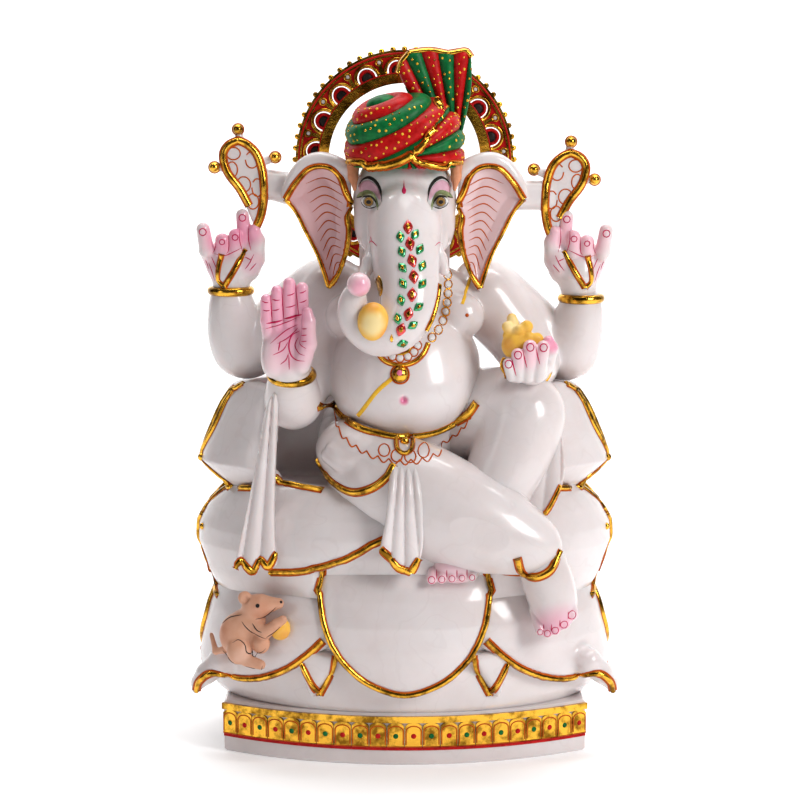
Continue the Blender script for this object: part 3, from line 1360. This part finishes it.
def hair():
    """The painted locks at the temples, under the turban."""
    clay = Clay((-42, -56, 360), (42, -10, 390), 0.9)
    for side in SIDES:
        clay.limb([(side * 33, -30, 382), (side * 33, -33, 374), (side * 32, -37, 366)], [4.4, 3.2, 1.2], 2)
    clay.fire("temple_hair", SALMON, "ear_paint")


hair()


# ---------------------------------------------------------------- stones on the trunk


class Jewels:
    """Coloured stones with foiled hearts, set in rows on the trunk."""

    def __init__(self):
        self.paints = {
            "red": Paint("red_stones", RUBY, "glass_stones"),
            "green": Paint("green_stones", EMERALD, "glass_stones"),
            "core": Paint("stone_hearts", GOLD, "glass_stones"),
        }

    def marquise(self, colour, x, z, long, wide, turn):
        """A pointed oval stone with a foiled heart."""
        c, s = math.cos(math.radians(turn)), math.sin(math.radians(turn))

        def oval(scale):
            flat = [(0, 0.5), (0.32, 0.27), (0.5, 0), (0.32, -0.27), (0, -0.5), (-0.32, -0.27), (-0.5, 0),
                    (-0.32, 0.27)]
            points = []
            for u, v in flat:
                u, v = u * wide * scale, v * long * scale
                points.append((x + u * c - v * s, z + u * s + v * c))
            return points

        self.paints[colour].patch(head_skin, oval(1.0), 0.7, step=0.6, rise=1.0)
        self.paints["core"].patch(head_skin, oval(0.5), 1.45, step=0.45, rise=0.35)

    def finish(self):
        for colour, paint in self.paints.items():
            paint.finish(*(["trunk_stones"] if colour == "core" else []))


jewels = Jewels()
for x, z, turn in ((2.0, 345.2, 0), (3.2, 335.2, 10), (4.5, 325.2, 20), (5.5, 315.7, 8), (4.5, 304.8, -4),
                   (2.2, 293.2, -14), (-2.4, 283.6, -20)):
    jewels.marquise("red", x, z, 9.0, 6.21, turn)
for x, z, turn in ((-2.8, 339.4, 8), (-1.9, 330.5, 24), (-1.5, 321.0, 40), (-1.2, 311.6, 34),
                   (-2.4, 301.6, 14),
                   (-4.4, 290.4, 10)):
    jewels.marquise("green", x, z, 7.5, 5.4, turn)
for x, z, turn in ((6.4, 340.7, -34), (9.4, 331.9, -30), (10.9, 321.9, -24), (10.9, 311.2, -40),
                   (8.6, 297.4, -54),
                   (5.0, 286.2, -58), (-1.4, 274.6, -75)):
    jewels.marquise("green", x, z, 7.5, 5.4, turn)
jewels.finish()


# ---------------------------------------------------------------- ears


EAR = [[(35, 378), (45, 385), (56, 387), (66, 383), (74, 374), (79, 359)],
       [(79, 359), (71, 352), (65, 340), (57, 324), (49, 298)],
       [(49, 298), (43, 309), (37, 325), (35, 338), (36, 350), (34, 356)], [(34, 356), (35, 378)]]
EAR_PINK = [[(34, 356), (38, 364), (42, 374), (50, 380), (61, 379), (70, 370), (77, 359)],
            [(77, 359), (70, 351), (64, 339), (56, 323), (49, 302)],
            [(49, 302), (43, 311), (38, 325), (36, 338), (37, 348), (34, 356)]]


def ear_face(x, z):
    """The ears lean back towards their outer edge, and are hollow like a shell."""
    across = (np.abs(x) - 34) / 45
    return -28 + 6 * across + 0 * z


def ears():
    """The two ears, hollow and tinted inside, with gilt edges and painted ribs."""
    for side, word in ((-1, "left"), (1, "right")):
        edge = [sided(run, side) for run in EAR]
        pink = [sided(run, side) for run in EAR_PINK]
        low, high = box_of(side, 28, 84)
        clay = Clay((low, -44, 292), (high, -6, 392), 0.8)
        clay.add(plate(Outline(*edge), ear_face, 11, 4))
        inside = Outline(*pink).table()
        x, y, z = np.meshgrid(*clay.axes, indexing="ij", sparse=True)
        flat_x, flat_z = np.broadcast_arrays(x, z)
        hollow = np.clip(-inside(flat_x, flat_z) - 1.0, 0, 7) / 7
        depth = 3.6 * hollow ** 0.8
        clay.field = smooth_max(clay.field, ear_face(flat_x, flat_z) + depth - y, 1.2)
        fold = ((37, 378), (46, 382.5), (56, 384), (65, 380), (72, 371), (77, 361))
        rim = [(side * a, ear_face(a, b) + 3, b) for a, b in fold]
        clay.limb(rim, [3.6, 4, 4.2, 4, 3.6, 2.4], 3, 2)
        obj = clay.fire(f"ear_{word}", MARBLE, "ear_paint", f"ear_{word}")
        points = places_of(obj)
        within = 1 - ease(inside(points[:, 0], points[:, 2]), -2.5, 1.0)
        facing = points[:, 1] < ear_face(points[:, 0], points[:, 2]) + 5.5
        share = within * facing * (0.55 if side < 0 else 0.38)
        colours = np.tile((0.80, 0.33, 0.36, 0.0), (len(points), 1))
        colours[:, 3] = share
        tint_points(obj, colours)
        skin = Skin(obj)
        for run in pink:
            dress_gilt.line(skin.lay(run, -30, 1.2), 2.9, 1.8, edge=1.9)
        for i in range(11):
            share = i / 10
            root_x, root_z = 38 + 3.5 * math.sin(share * 2.6), 366 - 48 * share
            end_x, end_z = 64 - 17 * share ** 1.2, 372 - 62 * share
            middle = ((root_x + end_x) / 2 + 1, (root_z + end_z) / 2 + 3.6)
            path = [(side * root_x, root_z), (side * middle[0], middle[1]), (side * end_x, end_z - 3)]
            fine_orange.line(skin.lay(path, -28, 1.0), 0.85, 0.3, sides=6, taper=True)


ears()


# ---------------------------------------------------------------- turban


BUN = np.array([0.0, -21.0, 393.0])
BUN_RADII = np.array([37.5, 35.5, 33.5])
POLE = np.array([-17.0, -8.0, 32.0])
BAND = [(-38, -36, 382), (-35, -46, 381.2), (-28, -53, 380.6), (-18, -58, 381), (-7, -60, 383.5),
        (3, -60, 388.5),
        (12, -57, 397), (18, -50, 406), (21, -41, 415), (21, -30, 422)]
SECOND_BAND = [(4, -60, 386.6), (13, -59, 383.6), (23, -55, 381.4), (32, -47, 381), (38, -36, 381.6)]


def turban_field(x, y, z):
    """The bun's surface, its coils' waves and which colour each coil has: positive is red."""
    dx, dy, dz = (v - c for v, c in zip((x, y, z), BUN))
    near = sum(np.abs(v / r) ** 2.4 for v, r in zip((dx, dy, dz), BUN_RADII)) ** (1 / 2.4)
    surface = (near - 1) * 34
    pole = POLE / np.linalg.norm(POLE)
    reach = np.sqrt(dx**2 + dy**2 + dz**2) + 1e-6
    down = np.degrees(np.arccos(np.clip((dx * pole[0] + dy * pole[1] + dz * pole[2]) / reach, -1, 1)))
    coil = (down - 16) / 20.5 + 2
    fan = np.degrees(np.arctan2(z - 387, np.maximum(x - 2, 0.5))) / 19.0 + 2.55
    right = (x - 4) * 0.72 - (z - 389) * 0.58 > 0
    phase = np.where(right & (x > 2), fan, coil)
    wave = np.abs(np.sin(math.pi * phase)) ** 0.55
    red = np.sin(math.pi * phase)
    return surface - 3.4 * wave + 2.0, red


def turban():
    """The coiled cloth, one piece for each colour."""
    pieces = []
    for word, sign, material in (("red", 1, RED), ("green", -1, GREEN)):
        clay = Clay((-43, -64, 376), (43, 20, 432), 0.8)
        x, y, z = np.meshgrid(*clay.axes, indexing="ij", sparse=True)
        surface, red = turban_field(x, y, z)
        surface = smooth_max(surface, 380 - z + 0 * surface, 2)
        clay.field = smooth_max(surface, -sign * red * 5 - 0.25, 0.4)
        pieces.append(clay.fire(f"turban_{word}", material, f"{word}_paint", f"turban_{word}"))
    return pieces


turban_pieces = turban()
turban_skin = Skin(*turban_pieces)
turban_gilt = Gilding("turban_lines")
turban_gilt.line(turban_skin.lay(BAND, step=1.2), 4.8, 2.4, edge=1.7)
turban_gilt.line(turban_skin.lay(SECOND_BAND, step=1.2), 3.4, 2.0, edge=1.5)
turban_gilt.line(turban_skin.lay([(-38, -46, 381), (-39, -30, 381), (-37, -8, 381), (-26, 8, 381),
                                  (0, 15, 381),
                                  (26, 8, 381), (37, -8, 381), (38, -36, 381)], step=1.6), 3.0, 1.8, edge=1.2)

CREST = [[(22, 404), (6, 420), (-4, 440)], [(-4, 440), (-2, 447), (3, 453)], [(3, 453), (16, 454.5),
                                                                              (28, 452.5)],
         [(28, 452.5), (40, 454), (43, 450)], [(43, 450), (43, 430), (38, 402)], [(38, 402), (22, 404)]]
CREST_PIVOT = (33, 386)


def crest_phase(x, z):
    """Which pleat of the fan a place is in. The red and the green ones take turns."""
    angle = np.degrees(np.arctan2(z - CREST_PIVOT[1], x - CREST_PIVOT[0]))
    return (angle - 74) / 8.6


def crest():
    """The fan of pleats above the turban, one piece for each colour."""
    outline = Outline(*CREST).table()
    pieces = []
    for word, sign, material in (("red", -1, RED), ("green", 1, GREEN)):
        clay = Clay((-9, -20, 398), (47, 2, 458), 0.8)
        x, y, z = np.meshgrid(*clay.axes, indexing="ij", sparse=True)
        flat_x, flat_z = np.broadcast_arrays(x, z)
        phase = crest_phase(flat_x, flat_z)
        wave = np.abs(np.sin(math.pi * phase)) ** 0.6
        body = smooth_max(np.abs(y + 8.5) - 4.0 - 2.8 * wave, outline(flat_x, flat_z), 2.0)
        clay.field = smooth_max(body, -sign * np.sin(math.pi * phase) * 4 - 0.25, 0.4)
        pieces.append(clay.fire(f"crest_{word}", material, "crest_paint", *(["crest"] if word == "red"
                                                                            else [])))
    return pieces


crest_pieces = crest()
crest_skin = Skin(*crest_pieces)
for run in (CREST[1], CREST[2], CREST[3]):
    top = [(x, -14 if i % 2 else -13, z) for i, (x, z) in enumerate(curve(run, 4.0))]
    rim = [(Vector((x, -8.5, z - 0.3)), FORWARD) for x, _, z in curve(top, 1.5)]
    turban_gilt.line(rim, 4.0, 6.6, edge=1.0)
turban_gilt.finish("turban_band")


def scatter_dots():
    """Gold dots over the turban's and the crest's cloth."""
    dots = Paint("turban_dots", GOLD, "gold_leaf")
    bright = Paint("turban_yellow_dots", YELLOW, "gold_leaf")
    placed = []

    def try_dot(spot, normal, gap):
        if all((spot - other).length > gap for other in placed):
            placed.append(spot)
            paint = dots if random.random() < 0.5 else bright
            paint.dot(spot, normal, random.uniform(0.65, 1.0), 0.45, 8)

    for _ in range(2600):
        turn, high = random.uniform(-math.pi, math.pi), random.uniform(-0.7, 1.0)
        out = Vector((math.cos(turn) * 38, math.sin(turn) * 36, high * 33))
        spot, normal = turban_skin.nearest(Vector(BUN) + out)
        _, red = turban_field(*spot)
        if abs(red) > 0.45 and spot.z > 384:
            try_dot(spot, normal, 3.6)
    for _ in range(700):
        x, z, y = random.uniform(-4, 43), random.uniform(408, 450), random.choice((-30, 12))
        spot, normal, _, _ = crest_skin.tree.ray_cast(Vector((x, y, z)), Vector((0, 1 if y < 0 else -1, 0)))
        if spot is not None and abs(math.sin(math.pi * float(crest_phase(x, z)))) > 0.6:
            try_dot(spot, normal, 3.4)
    dots.finish()
    bright.finish()


scatter_dots()


# ---------------------------------------------------------------- necklace and sweets


front_skin = Skin(body_piece, head_piece)


def necklace():
    """The string of cells down the chest and the pendant."""
    gilt = Gilding("necklace")
    cells = Paint("necklace_cells", WHITE, "gold_leaf")
    gilt.line(front_skin.lay([(21.5, 309), (20.5, 301), (17.6, 291), (13.4, 282)], -60, 1.0), 4.0, 1.8,
              edge=1.4)
    for x, z in ((28, 310), (28.2, 304.5), (28, 299), (27.4, 293.5), (26.4, 288), (24.6, 282.6),
                 (21.6, 277.6),
                 (17.4, 273.4)):
        spot, normal = front_skin.front(x, z, guess=-50)
        cells.dot(spot, normal, 2.3, 0.7, 8)
        ring = front_skin.lay(oval(x, z, 2.6, 2.6), -50, 0.8)
        gilt.gold.line(ring, 0.7, 0.5, sides=6)
        gilt.edge.line(ring, 1.0, 0.3, sides=6)
    for i in range(7):
        turn = math.radians(-165 + 25 * i)
        x, z = -3 + 11.5 * math.cos(turn), 271.5 + 10 * math.sin(turn)
        spot, normal = body_skin.front(x, z, guess=-66)
        cells.dot(spot, normal, 2.4, 0.8, 8)
        gilt.edge.line(body_skin.lay(oval(x, z, 2.7, 2.7), -60, 0.8), 0.9, 0.4, sides=6)
    gilt.line(body_skin.lay([(-19, 272), (-18, 266), (-12.5, 259.5), (-3, 257), (6, 259), (12, 264),
                             (15, 270)],
                            -66, 1.0), 2.4, 1.4, edge=1.2)
    gilt.line(body_skin.lay([(-11, 270), (-8, 265.4), (-3, 263.6), (2, 265.4), (5, 270)], -66, 0.8), 2.0, 1.3,
              edge=0.8)
    rosy = Paint("necklace_rose", PINK, "red_paint")
    rosy.patch(body_skin, [(-8, 270.5), (-6.5, 267.5), (-3, 266), (0.5, 267.5), (2, 270.5), (-3, 272)], 0.8,
               step=0.7)
    rosy.dot(*body_skin.front(-3, 251.6), 2.6, 6.2, 14)
    gilt.gold.dot(*body_skin.front(-3, 251.6), 5.4, 4.4, 20)
    gilt.edge.line(body_skin.lay(oval(-3, 251.6, 5.8, 5.8, 12), -70, 1.0), 1.2, 0.7, sides=6)
    gilt.finish("necklace")
    cells.finish()
    rosy.finish()


necklace()


def tinted(obj, base, spots):
    """Tints a whole piece with a base colour, and spots of others."""
    blush(obj, spots, (*base, 1))


def sweets():
    """The sweet held by the trunk, the heap in the hand and the mouse's sweet."""
    yellow, deep, cream = (0.86, 0.46, 0.03), (0.76, 0.25, 0.008), (0.90, 0.72, 0.34)
    laddu = Clay((-34, -114, 272), (-6, -88, 304), 0.7)
    laddu.add(egg((-19.6, -101, 288), (9.8, 8.6, 12.2)))
    tinted(laddu.fire("trunk_sweet", PAINTED, "yellow_sweets"), yellow,
           [((-20, -110, 287), 11, cream, 0.9), ((-11, -103, 280), 8, deep, 0.8), ((-20, -106, 299), 7,
                                                                                   deep, 0.5)])
    heap = Clay((58, -84, 252), (94, -44, 296), 0.8)
    heap.add(egg((74, -64, 268), (11.5, 9, 10)))
    heap.add(bone((70, -64, 270), (68, -62, 286), 8, 3.2), 4)
    lumps = random.Random(3)
    for _ in range(34):
        x, z = lumps.uniform(64, 86), lumps.uniform(262, 284)
        if z < 288 - 0.7 * abs(x - 69):
            heap.add(ball((x, -70 + 0.35 * abs(x - 74) + lumps.uniform(-1, 1), z), lumps.uniform(2.4, 3.6)),
                     1.6)
    tinted(heap.fire("sweet_heap", PAINTED, "yellow_sweets", "sweets"), (0.84, 0.46, 0.03),
           [((68, -68, 284), 9, cream, 0.8), ((66, -70, 270), 6, deep, 0.5), ((80, -74, 276), 6,
                                                                              (0.88, 0.50, 0.04),
                                                                                 0.7)])
    gap = Paint("trunk_gap", GOLD, "gold_leaf")
    gap.patch(front_skin, [(-16.4, 315.5), (-14.2, 312), (-13.8, 306), (-15.6, 302), (-17.8, 305),
                           (-18.6, 311)],
              0.4, step=0.7)
    gap.patch(front_skin, [(-8.3, 281), (-7.2, 278), (-8, 275.6), (-9.4, 277.6)], 0.5, step=0.5)
    gap.finish()
    bite = Clay((-92, -92, 76), (-68, -70, 102), 0.7)
    bite.add(egg((-79.5, -80, 88.5), (6.6, 5, 7.4)))
    tinted(bite.fire("mouse_sweet", PAINTED, "yellow_sweets"), yellow, [((-76, -84, 84), 6, deep, 0.5)])


sweets()


# ---------------------------------------------------------------- mouse


def mouse():
    """The mouse that holds a sweet, with its painted lines."""
    clay = Clay((-130, -96, 58), (-68, -56, 114), 0.7)
    clay.add(egg((-106, -72, 83), (13, 10, 14.5)))
    clay.add(egg((-99, -75, 93), (10, 8.5, 9)), 5)
    clay.add(egg((-95, -78, 103), (9, 8, 7.6)), 4)
    clay.add(bone((-90, -80, 104), (-80.5, -82, 105.5), 6.6, 3.6), 3.5)
    clay.add(egg((-102, -79, 108.5), (4.4, 2.8, 4.4)), 1.0)
    clay.carve(egg((-101.4, -82.2, 108.5), (2.6, 1.8, 2.6)), 0.6)
    clay.limb([(-97, -80, 92), (-89, -84, 87), (-82, -87, 93), (-77.5, -87, 96)], [4.6, 4.2, 3.2, 2.8], 1.4)
    clay.add(egg((-106, -79, 74), (8, 7, 9)), 1.6)
    clay.limb([(-101, -80, 68), (-92, -84, 66)], [4.2, 3.2], 1.4)
    clay.add(egg((-92, -79, 79), (6, 5, 7)), 2.0)
    clay.limb([(-116, -68, 72), (-122, -64, 70), (-125, -60, 80)], [2.6, 2.0, 1.4], 1.5)
    obj = clay.fire("mouse", PAINTED, "mouse_paint", "mouse")
    tinted(obj, (0.62, 0.30, 0.18), [((-116, -74, 84), 12, (0.56, 0.22, 0.12), 0.6), ((-92, -84, 102), 9,
                                     (0.56, 0.22, 0.12), 0.55), ((-104, -84, 72), 8, (0.72, 0.44, 0.33),
                                                                 0.6)])
    skin = Skin(obj)
    dark = Paint("mouse_lines", BLACK, "mouse_paint")
    for path in ([(-104, 94), (-101, 90), (-97, 86.5), (-92, 85), (-88, 83.6)], [(-97, 93), (-94, 89),
                                                                                 (-91, 88)],
                 [(-95, 95.5), (-90, 96.5), (-86, 99.5), (-82, 103.5)], [(-110, 80), (-106, 82), (-102, 79),
                 (-100.6, 74), (-96, 72), (-91, 74), (-88.6, 76.4)], [(-102, 64.5), (-97, 63.6), (-92, 62.6),
                 (-90.6, 66)], [(-117, 72), (-113, 67.6), (-107, 65)], [(-117.6, 90), (-112, 95), (-104, 98)],
                 [(-88, 84.6), (-83, 88), (-79, 92)]):
        dark.line(skin.lay(path, -82, 0.8), 0.8, 0.35, sides=6, taper=True)
    dark.dot(*skin.front(-93.5, 105), 1.4, 0.5)
    dark.dot(*skin.front(-78.6, 107), 1.0, 0.5)
    dark.finish()


mouse()


# ---------------------------------------------------------------- raised hands and their emblems


def fist(side, lift):
    """A hand raised behind an emblem: fingers curled forward and one finger up."""
    low, high = box_of(side, 88, 138)
    clay = Clay((low, -28, 294 + lift), (high, 12, 358 + lift), 0.65)

    def at(x, y, z):
        return side * x, y, z + lift

    clay.limb([at(114, -4, 300), at(113, -5, 308)], [12, 14], 4)
    clay.add(egg(at(113, -5, 317), (18, 10.5, 15)), 5)
    clay.add(egg(at(100, -8, 318), (7, 8, 13)), 4)
    fingers = ((127, 131, 338), (118.6, 118.5, 331), (110.4, 110, 334))
    for root, x, z in fingers:
        clay.limb([at(root, -5, 318), at(root + (x - root) * 0.5, -12, 324), at(x, -15, z)],
                  [5.2, 5.0, 4.5], 1.2)
    clay.limb([at(105, -7, 320), at(104.5, -10, 334), at(105.6, -12, 347)], [5.2, 4.8, 4.2], 1.3)
    clay.limb([at(97, -8, 318), at(96, -11, 330), at(98, -13, 337)], [6, 5, 4.2], 1.6)
    word = "left" if side < 0 else "right"
    obj = clay.fire(f"raised_hand_{word}", MARBLE, "tinted_marble", f"hand_rear_{word}")
    tint, strength = (ROSE, 0.75) if side < 0 else (PALE_ROSE, 0.8)
    blush(obj, [(at(118, -16, 334), 20, tint, strength), (at(102, -16, 338), 16, tint, strength),
                (at(127, -10, 312), 12, tint, 0.4), (at(99, -14, 316), 12, tint, 0.3)])
    skin = Skin(obj)

    def path(points):
        return [(side * x, z + lift) for x, z in points]

    for x, z, size in ((131, 336.5, 2.3), (118.5, 330, 1.8), (110, 333, 2.0), (105.4, 345.5, 2.2)):
        stroke(skin, path(oval(x, z, size, size)), 0.75, -16, False)
    for points in ([(123.4, 337), (122.8, 328), (125, 322)], [(114.2, 334), (114.4, 325), (116, 322)],
                   [(107.4, 338), (107, 330), (105, 322)], [(101, 342), (101.6, 332), (100, 324)],
                   [(124, 322), (117, 321), (110, 324), (106, 326)], [(128, 316), (125.6, 310), (124, 304)],
                   [(130, 318), (128, 312)], [(126, 320), (122.4, 312)], [(98, 322), (101, 316), (104, 312)],
                   [(96.6, 316), (101, 311)], [(104, 320), (99.6, 318)]):
        stroke(skin, path(points), 0.7, -15)
    for points in ([(119, 322), (121.2, 313), (121.6, 305), (118, 301)], [(103.6, 325), (110.6, 312),
                                                                          (117.4, 301)]):
        hand_gilt.line(skin.lay(path(points), -16, 1.0), 3.0, 1.3, edge=1.3)


EMBLEM = [[(96, 328), (91, 340), (89, 354), (90, 369), (94, 381), (101, 388), (108, 391)],
          [(108, 391), (116, 387), (120, 379), (117, 367), (109, 356), (103, 345)], [(103, 345), (96, 328)]]
KNOBS = ((108, 395.5), (123.5, 371), (84, 377.5))


def emblem(side, lift):
    """A painted leaf with a gilt edge and three gilt knobs, joined to the ear by a strut."""
    def flat(points):
        return [(side * x, z + lift) for x, z in points]

    word = "left" if side < 0 else "right"
    runs = [flat(run) for run in EMBLEM]
    shape = Outline(*runs)
    low, high = box_of(side, 68, 130)
    clay = Clay((low, -20, 322 + lift), (high, 0, 402 + lift), 0.75)
    clay.add(plate(shape, lambda x, z: -13.5 + 0 * x + 0 * z, 9, 2.4))
    for x, z in KNOBS:
        inner = (side * (104 + (x - 104) * 0.55), -9, 370 + (z - 370) * 0.55 + lift)
        clay.limb([inner, (side * x, -9, z + lift)], [3.0, 2.6], 1.0)
    clay.limb([(side * 92, -8, 363 + lift), (side * 74, -10, 363 + lift * 0.6)], [7, 8], 2)
    clay.limb([(side * 92, -8, 358 + lift), (side * 74, -10, 359 + lift * 0.4)], [7, 8], 2)
    obj = clay.fire(f"emblem_{word}", MARBLE, "ear_paint", f"emblem_{word}")
    blush(obj, [])
    skin = Skin(obj)
    for run in EMBLEM[:2]:
        path = curve(inset_run(curve(flat(run), 2.0), 2.3 * side), 1.5)
        hand_gilt.line(skin.lay(path, -14, 1.0), 4.2, 1.8, edge=1.6)
    for x, z, wide, high in ((111, 380, 4.5, 4.0), (99, 376, 4.2, 5.4), (112, 369.6, 3.6, 5.0),
                             (104.6, 360, 4.6, 5),
                             (95.6, 358, 3.6, 5.8), (98.6, 349, 3.8, 5.0)):
        arc = [(x + wide * math.cos(t * math.pi / 5), z + high * math.sin(t * math.pi / 5))
               for t in range(1, 11)]
        fine_orange.line(skin.lay(flat(arc), -14, 0.9), 0.9, 0.35, sides=6)
    for x, z in KNOBS:
        knob = Vector((side * x, -10.5, z + lift))
        hand_gilt.gold.dot(knob, FORWARD, 3.6, 4.6, 16)
        hand_gilt.gold.dot(knob, BACKWARD, 3.6, 3.2, 16)
        ring = [(Vector((a, -10.7, b)), FORWARD) for a, b in oval(knob.x, knob.z, 3.7, 3.7, 16)]
        hand_gilt.edge.line(ring, 1.0, 0.8, sides=6)


hand_gilt = Gilding("hand_lines")
for side, hand_lift, leaf_lift in ((-1, 1, 8), (1, 0, 0)):
    fist(side, hand_lift)
    emblem(side, leaf_lift)
hand_gilt.finish("emblem_rims", "ear_rims")


# ---------------------------------------------------------------- halo


HALO_Z = 382.0
HALO_LEAN = -4.7


def around(radius, turn, y):
    """A place on the ring, turned in degrees from its top."""
    angle = math.radians(turn)
    return Vector((radius * math.sin(angle), y, HALO_Z + radius * math.cos(angle)))


def on_halo(points, middle, y, facing):
    """Points given in mm across and outward from the middle of an opening, on one face of the band."""
    return [(around(59.0 + v, middle + math.degrees(u / 62), y), facing) for u, v in points]


def halo():
    """The pierced band: red ground, and in each opening a gilt arch over a red ring like a peacock's eye."""
    ground = Clay((-72, 30.5, 310), (72, 38, 454), 0.9)
    x, y, z = np.meshgrid(*ground.axes, indexing="ij", sparse=True)
    reach = np.sqrt(x**2 + (z - HALO_Z) ** 2)
    turn = np.degrees(np.arctan2(x, z - HALO_Z)) - HALO_LEAN
    along = (turn + 10) % 20 - 10
    side = np.radians(along) * reach
    eye = np.sqrt(side**2 + (reach - 59.5) ** 2)
    hole = np.abs(eye - 6.4) - 0.7
    band = np.maximum(np.abs(reach - 63) - 7.0, -np.maximum(hole, 57.6 - reach))
    ground.field = smooth_max(band + 0 * y, np.abs(y - 34.2) - 2.4, 0.8)
    ground.fire("halo_ground", RED, "red_paint", "halo_scrolls")
    gold = Paint("halo_arches", GOLD, "gold_leaf")
    ring = Paint("halo_rings", RED, "red_paint")
    dark = Paint("halo_eyes", BLACK, "red_paint")
    white = Paint("halo_loops", WHITE, "marble")
    for i in range(18):
        middle = HALO_LEAN + 20 * i
        for y, facing in ((31.6, FORWARD), (36.8, BACKWARD)):
            arch = [(8.4 * math.cos(t * math.pi / 14), -1.5 + 9.6 * math.sin(t * math.pi / 14))
                    for t in range(15)]
            gold.line(on_halo(arch, middle, y, facing), 2.5, 1.7)
            ring.line(on_halo(oval(0, 0, 5, 5, 12), middle, y, facing), 1.9, 1.5, sides=6)
            dark.dot(*on_halo([(0, 0)], middle, y, facing)[0], 3.6, 0.7, 14)
            gold.dot(*on_halo([(0.8, -2.0)], middle, y, facing)[0], 1.5, 1.5, 10)
            small = [(around(b, a, y), facing) for b, a in oval(66.2, middle + 10, 2.2, 2.1, 10)]
            gold.line(small, 1.1, 1.3, sides=6)
            white.dot(around(66.2, middle + 10, y), facing, 1.4, 0.6, 8)
    for y, facing in ((30.6, FORWARD), (37.4, BACKWARD)):
        for radius, width, height in ((70.3, 1.3, 0.9), (57.4, 1.0, 0.8)):
            hoop = [(around(radius, 3 * t, y), facing) for t in range(121)]
            ring.line(hoop, width, height, sides=6)
    for paint in (gold, ring, dark, white):
        paint.finish()


halo()


# ---------------------------------------------------------------- gathered lines of the whole figure


dress_gilt.finish("waist_belt", "belt_clasp", "cloth_hems")
fine_orange.finish()
red_strokes.finish()


# ---------------------------------------------------------------- CAD pieces whose shape is right


def assign(material, *names):
    """Gives CAD nodes that stay in view their material."""
    for name in names:
        mesh = nodes[name].data
        mesh.materials.clear()
        mesh.materials.append(material)


assign(PLAIN_MARBLE, "plinth", "back_pillar")
assign(STEEL, "dowels")
assign(GOLD, "frieze_tiles", "frieze_moulding", "halo_ring", "halo_beads", "bangles")
assign(RED, "frieze_line", "frieze_studs_red")
assign(GREEN, "frieze_studs_green")


def frieze_lines():
    """Red outlines round the arched tiles of the frieze."""
    skin = Skin(nodes["frieze_tiles"])
    lines = Paint("frieze_outlines", ORANGE, "red_paint")
    half, front, rise, count = 118.0, -85.0, 36.0, 22
    radius = (half**2 + rise**2) / (2 * rise)
    reach = math.asin(half / radius)
    step = 2 * reach / count
    for i in range(count):
        middle = -reach + (i + 0.5) * step
        arch = [(-0.84, 14), (-0.84, 19), (-0.84, 23)]
        arch += [(-0.84 * math.cos(math.pi * t / 8), 23 + 3.2 * math.sin(math.pi * t / 8))
                 for t in range(1, 8)]
        arch += [(0.84, 23), (0.84, 19), (0.84, 14)]
        foot_line = [(-0.98, 12.6), (0, 12.6), (0.98, 12.6)]
        for path, width in ((arch, 0.9), (foot_line, 0.8)):
            laid = []
            for share, z in path:
                turn = middle + share * step / 2
                out = radius + 3
                place = (out * math.sin(turn), front + radius - out * math.cos(turn), z)
                laid.append(skin.nearest(place))
            lines.line(laid, width, 0.45, sides=6)
    lines.finish()


frieze_lines()
